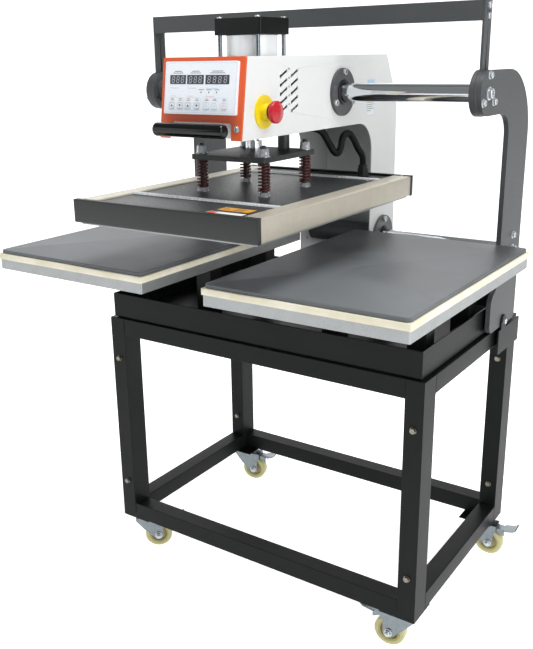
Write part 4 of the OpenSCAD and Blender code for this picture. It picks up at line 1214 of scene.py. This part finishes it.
class HEATPRESS_OT_stage(bpy.types.Operator):
    """Set the pale floor, the soft lights and the camera"""
    bl_idname = "heatpress.stage"
    bl_label = "Stage"

    # The stage is turned this many degrees to the left of +Y.
    YAW = 34.9

    def execute(self, context):
        self.floor()
        self.lights(context)
        self.camera(context)
        # Plain tone curve, so that the coats keep their own colours.
        context.scene.view_settings.view_transform = "Standard"
        return {"FINISHED"}

    def floor(self):
        """A wide pale sweep: flat under the press, then curving up behind it into a wall."""
        material, tree, shader = new_finish("paper_sweep", {
            "Base Color": to_linear("#f7f7f6"), "Roughness": 0.9, "Emission Color": (1, 1, 1, 1),
            "Emission Strength": 0.8})
        grain = add_node(tree, "ShaderNodeTexNoise", inputs={"Scale": 1.0 / 0.2, "Detail": 4.0})
        shade = add_node(tree, "ShaderNodeMapRange", inputs={
            "Value": grain.outputs["Fac"], "To Min": 0.86, "To Max": 0.92})
        tree.links.new(shade.outputs["Result"], shader.inputs["Roughness"])
        FINISHES["paper"] = material
        bend = arc_points(6.0, 3.0, 3.0, -90, 0, 24)
        line = np.concatenate([[[-7.0, 0.0]], bend, [[9.0, 9.0]]])
        section = np.concatenate([line, (line + [0.0, -0.02])[::-1]])
        rings = np.stack([np.column_stack([section[:, 0], np.full(len(section), w), section[:, 1]])
                          for w in (-11.0, 11.0)])
        yaw = math.radians(self.YAW)
        ahead = np.array([-math.sin(yaw), math.cos(yaw), 0.0])
        basis = np.stack([ahead, np.cross(Z_AXIS, ahead), Z_AXIS])
        sweep = shell(rings, origin=(0, 0, -0.0005), basis=basis)
        piece("paper_sweep", [sweep], "paper", None)

    def lights(self, context):
        """A strong soft light from the right, one from overhead, a weak one from the left, and a pale sky."""
        area_light("key_right", (3.2, -0.9, 1.9), (0, 0, 0.75), (2.6, 2.6), 62.0)
        area_light("top", (0.4, -0.4, 3.6), (0, 0, 0.9), (1.5, 1.5), 66.0)
        area_light("fill_left", (-3.0, -2.6, 1.6), (0, 0, 0.8), (2.0, 2.4), 15.0)
        world = bpy.data.worlds.new("studio")
        world.use_nodes = True
        world.node_tree.nodes["Background"].inputs["Color"].default_value = to_linear("#f2f4f5")
        world.node_tree.nodes["Background"].inputs["Strength"].default_value = 0.27
        context.scene.world = world

    def camera(self, context):
        """The camera looks 34.9 degrees left of +Y and 17.3 degrees down, rolled by one degree."""
        yaw, pitch, roll = (math.radians(a) for a in (self.YAW, 17.3, -1.0))
        flat_part = math.cos(pitch)
        ahead = np.array([-math.sin(yaw) * flat_part, math.cos(yaw) * flat_part, -math.sin(pitch)])
        level = np.array([math.cos(yaw), math.sin(yaw), 0.0])
        lift = np.cross(level, ahead)
        right = level * math.cos(roll) + lift * math.sin(roll)
        rise = -level * math.sin(roll) + lift * math.cos(roll)
        spot = at(968.9, -1360.4, 1206.1)
        lens = bpy.data.cameras.new("camera")
        lens.lens = sizes().focal_length
        lens.sensor_width = 36.0
        lens.shift_x = 0.0165
        lens.shift_y = -0.0106
        lens.clip_end = 60.0
        camera = bpy.data.objects.new("camera", lens)
        rows = [[right[i], rise[i], -ahead[i], spot[i]] for i in range(3)]
        camera.matrix_world = Matrix(rows + [[0, 0, 0, 1]])
        context.scene.collection.objects.link(camera)
        context.scene.camera = camera


# ---------------------------------------------------------------- registration

OPERATORS = (
    HEATPRESS_OT_dress_frame, HEATPRESS_OT_stand_details, HEATPRESS_OT_arm_screws, HEATPRESS_OT_bed_pads,
    HEATPRESS_OT_bearing_details, HEATPRESS_OT_bezel, HEATPRESS_OT_panel_print,
    HEATPRESS_OT_side_label, HEATPRESS_OT_handle,
    HEATPRESS_OT_e_stop, HEATPRESS_OT_cylinder_details, HEATPRESS_OT_springs, HEATPRESS_OT_spring_studs,
    HEATPRESS_OT_platen, HEATPRESS_OT_lead, HEATPRESS_OT_casters, HEATPRESS_OT_stage)


class HEATPRESS_PT_panel(bpy.types.Panel):
    """Sizes, colours and steps of the heat press"""
    bl_label = "Heat press"
    bl_idname = "HEATPRESS_PT_panel"
    bl_space_type = "VIEW_3D"
    bl_region_type = "UI"
    bl_category = "Heat press"

    def draw(self, context):
        for group in (sizes(), colours()):
            box = self.layout.box()
            for name in group.bl_rna.properties.keys():
                if name not in ("rna_type", "name"):
                    box.prop(group, name)
        for operator in OPERATORS:
            self.layout.operator(operator.bl_idname)


CLASSES = (HeatPressSizes, HeatPressColours, *OPERATORS, HEATPRESS_PT_panel)


def register():
    for cls in CLASSES:
        bpy.utils.register_class(cls)
    bpy.types.Scene.heat_press_sizes = bpy.props.PointerProperty(type=HeatPressSizes)
    bpy.types.Scene.heat_press_colours = bpy.props.PointerProperty(type=HeatPressColours)


def unregister():
    del bpy.types.Scene.heat_press_colours
    del bpy.types.Scene.heat_press_sizes
    for cls in reversed(CLASSES):
        bpy.utils.unregister_class(cls)


def main():
    register()
    FINISHES.update(make_finishes())
    for operator in OPERATORS:
        step = getattr(bpy.ops.heatpress, operator.bl_idname.split(".")[1])
        if step() != {"FINISHED"}:
            raise RuntimeError(f"{operator.bl_label} did not finish")


if __name__ == "__main__":
    main()
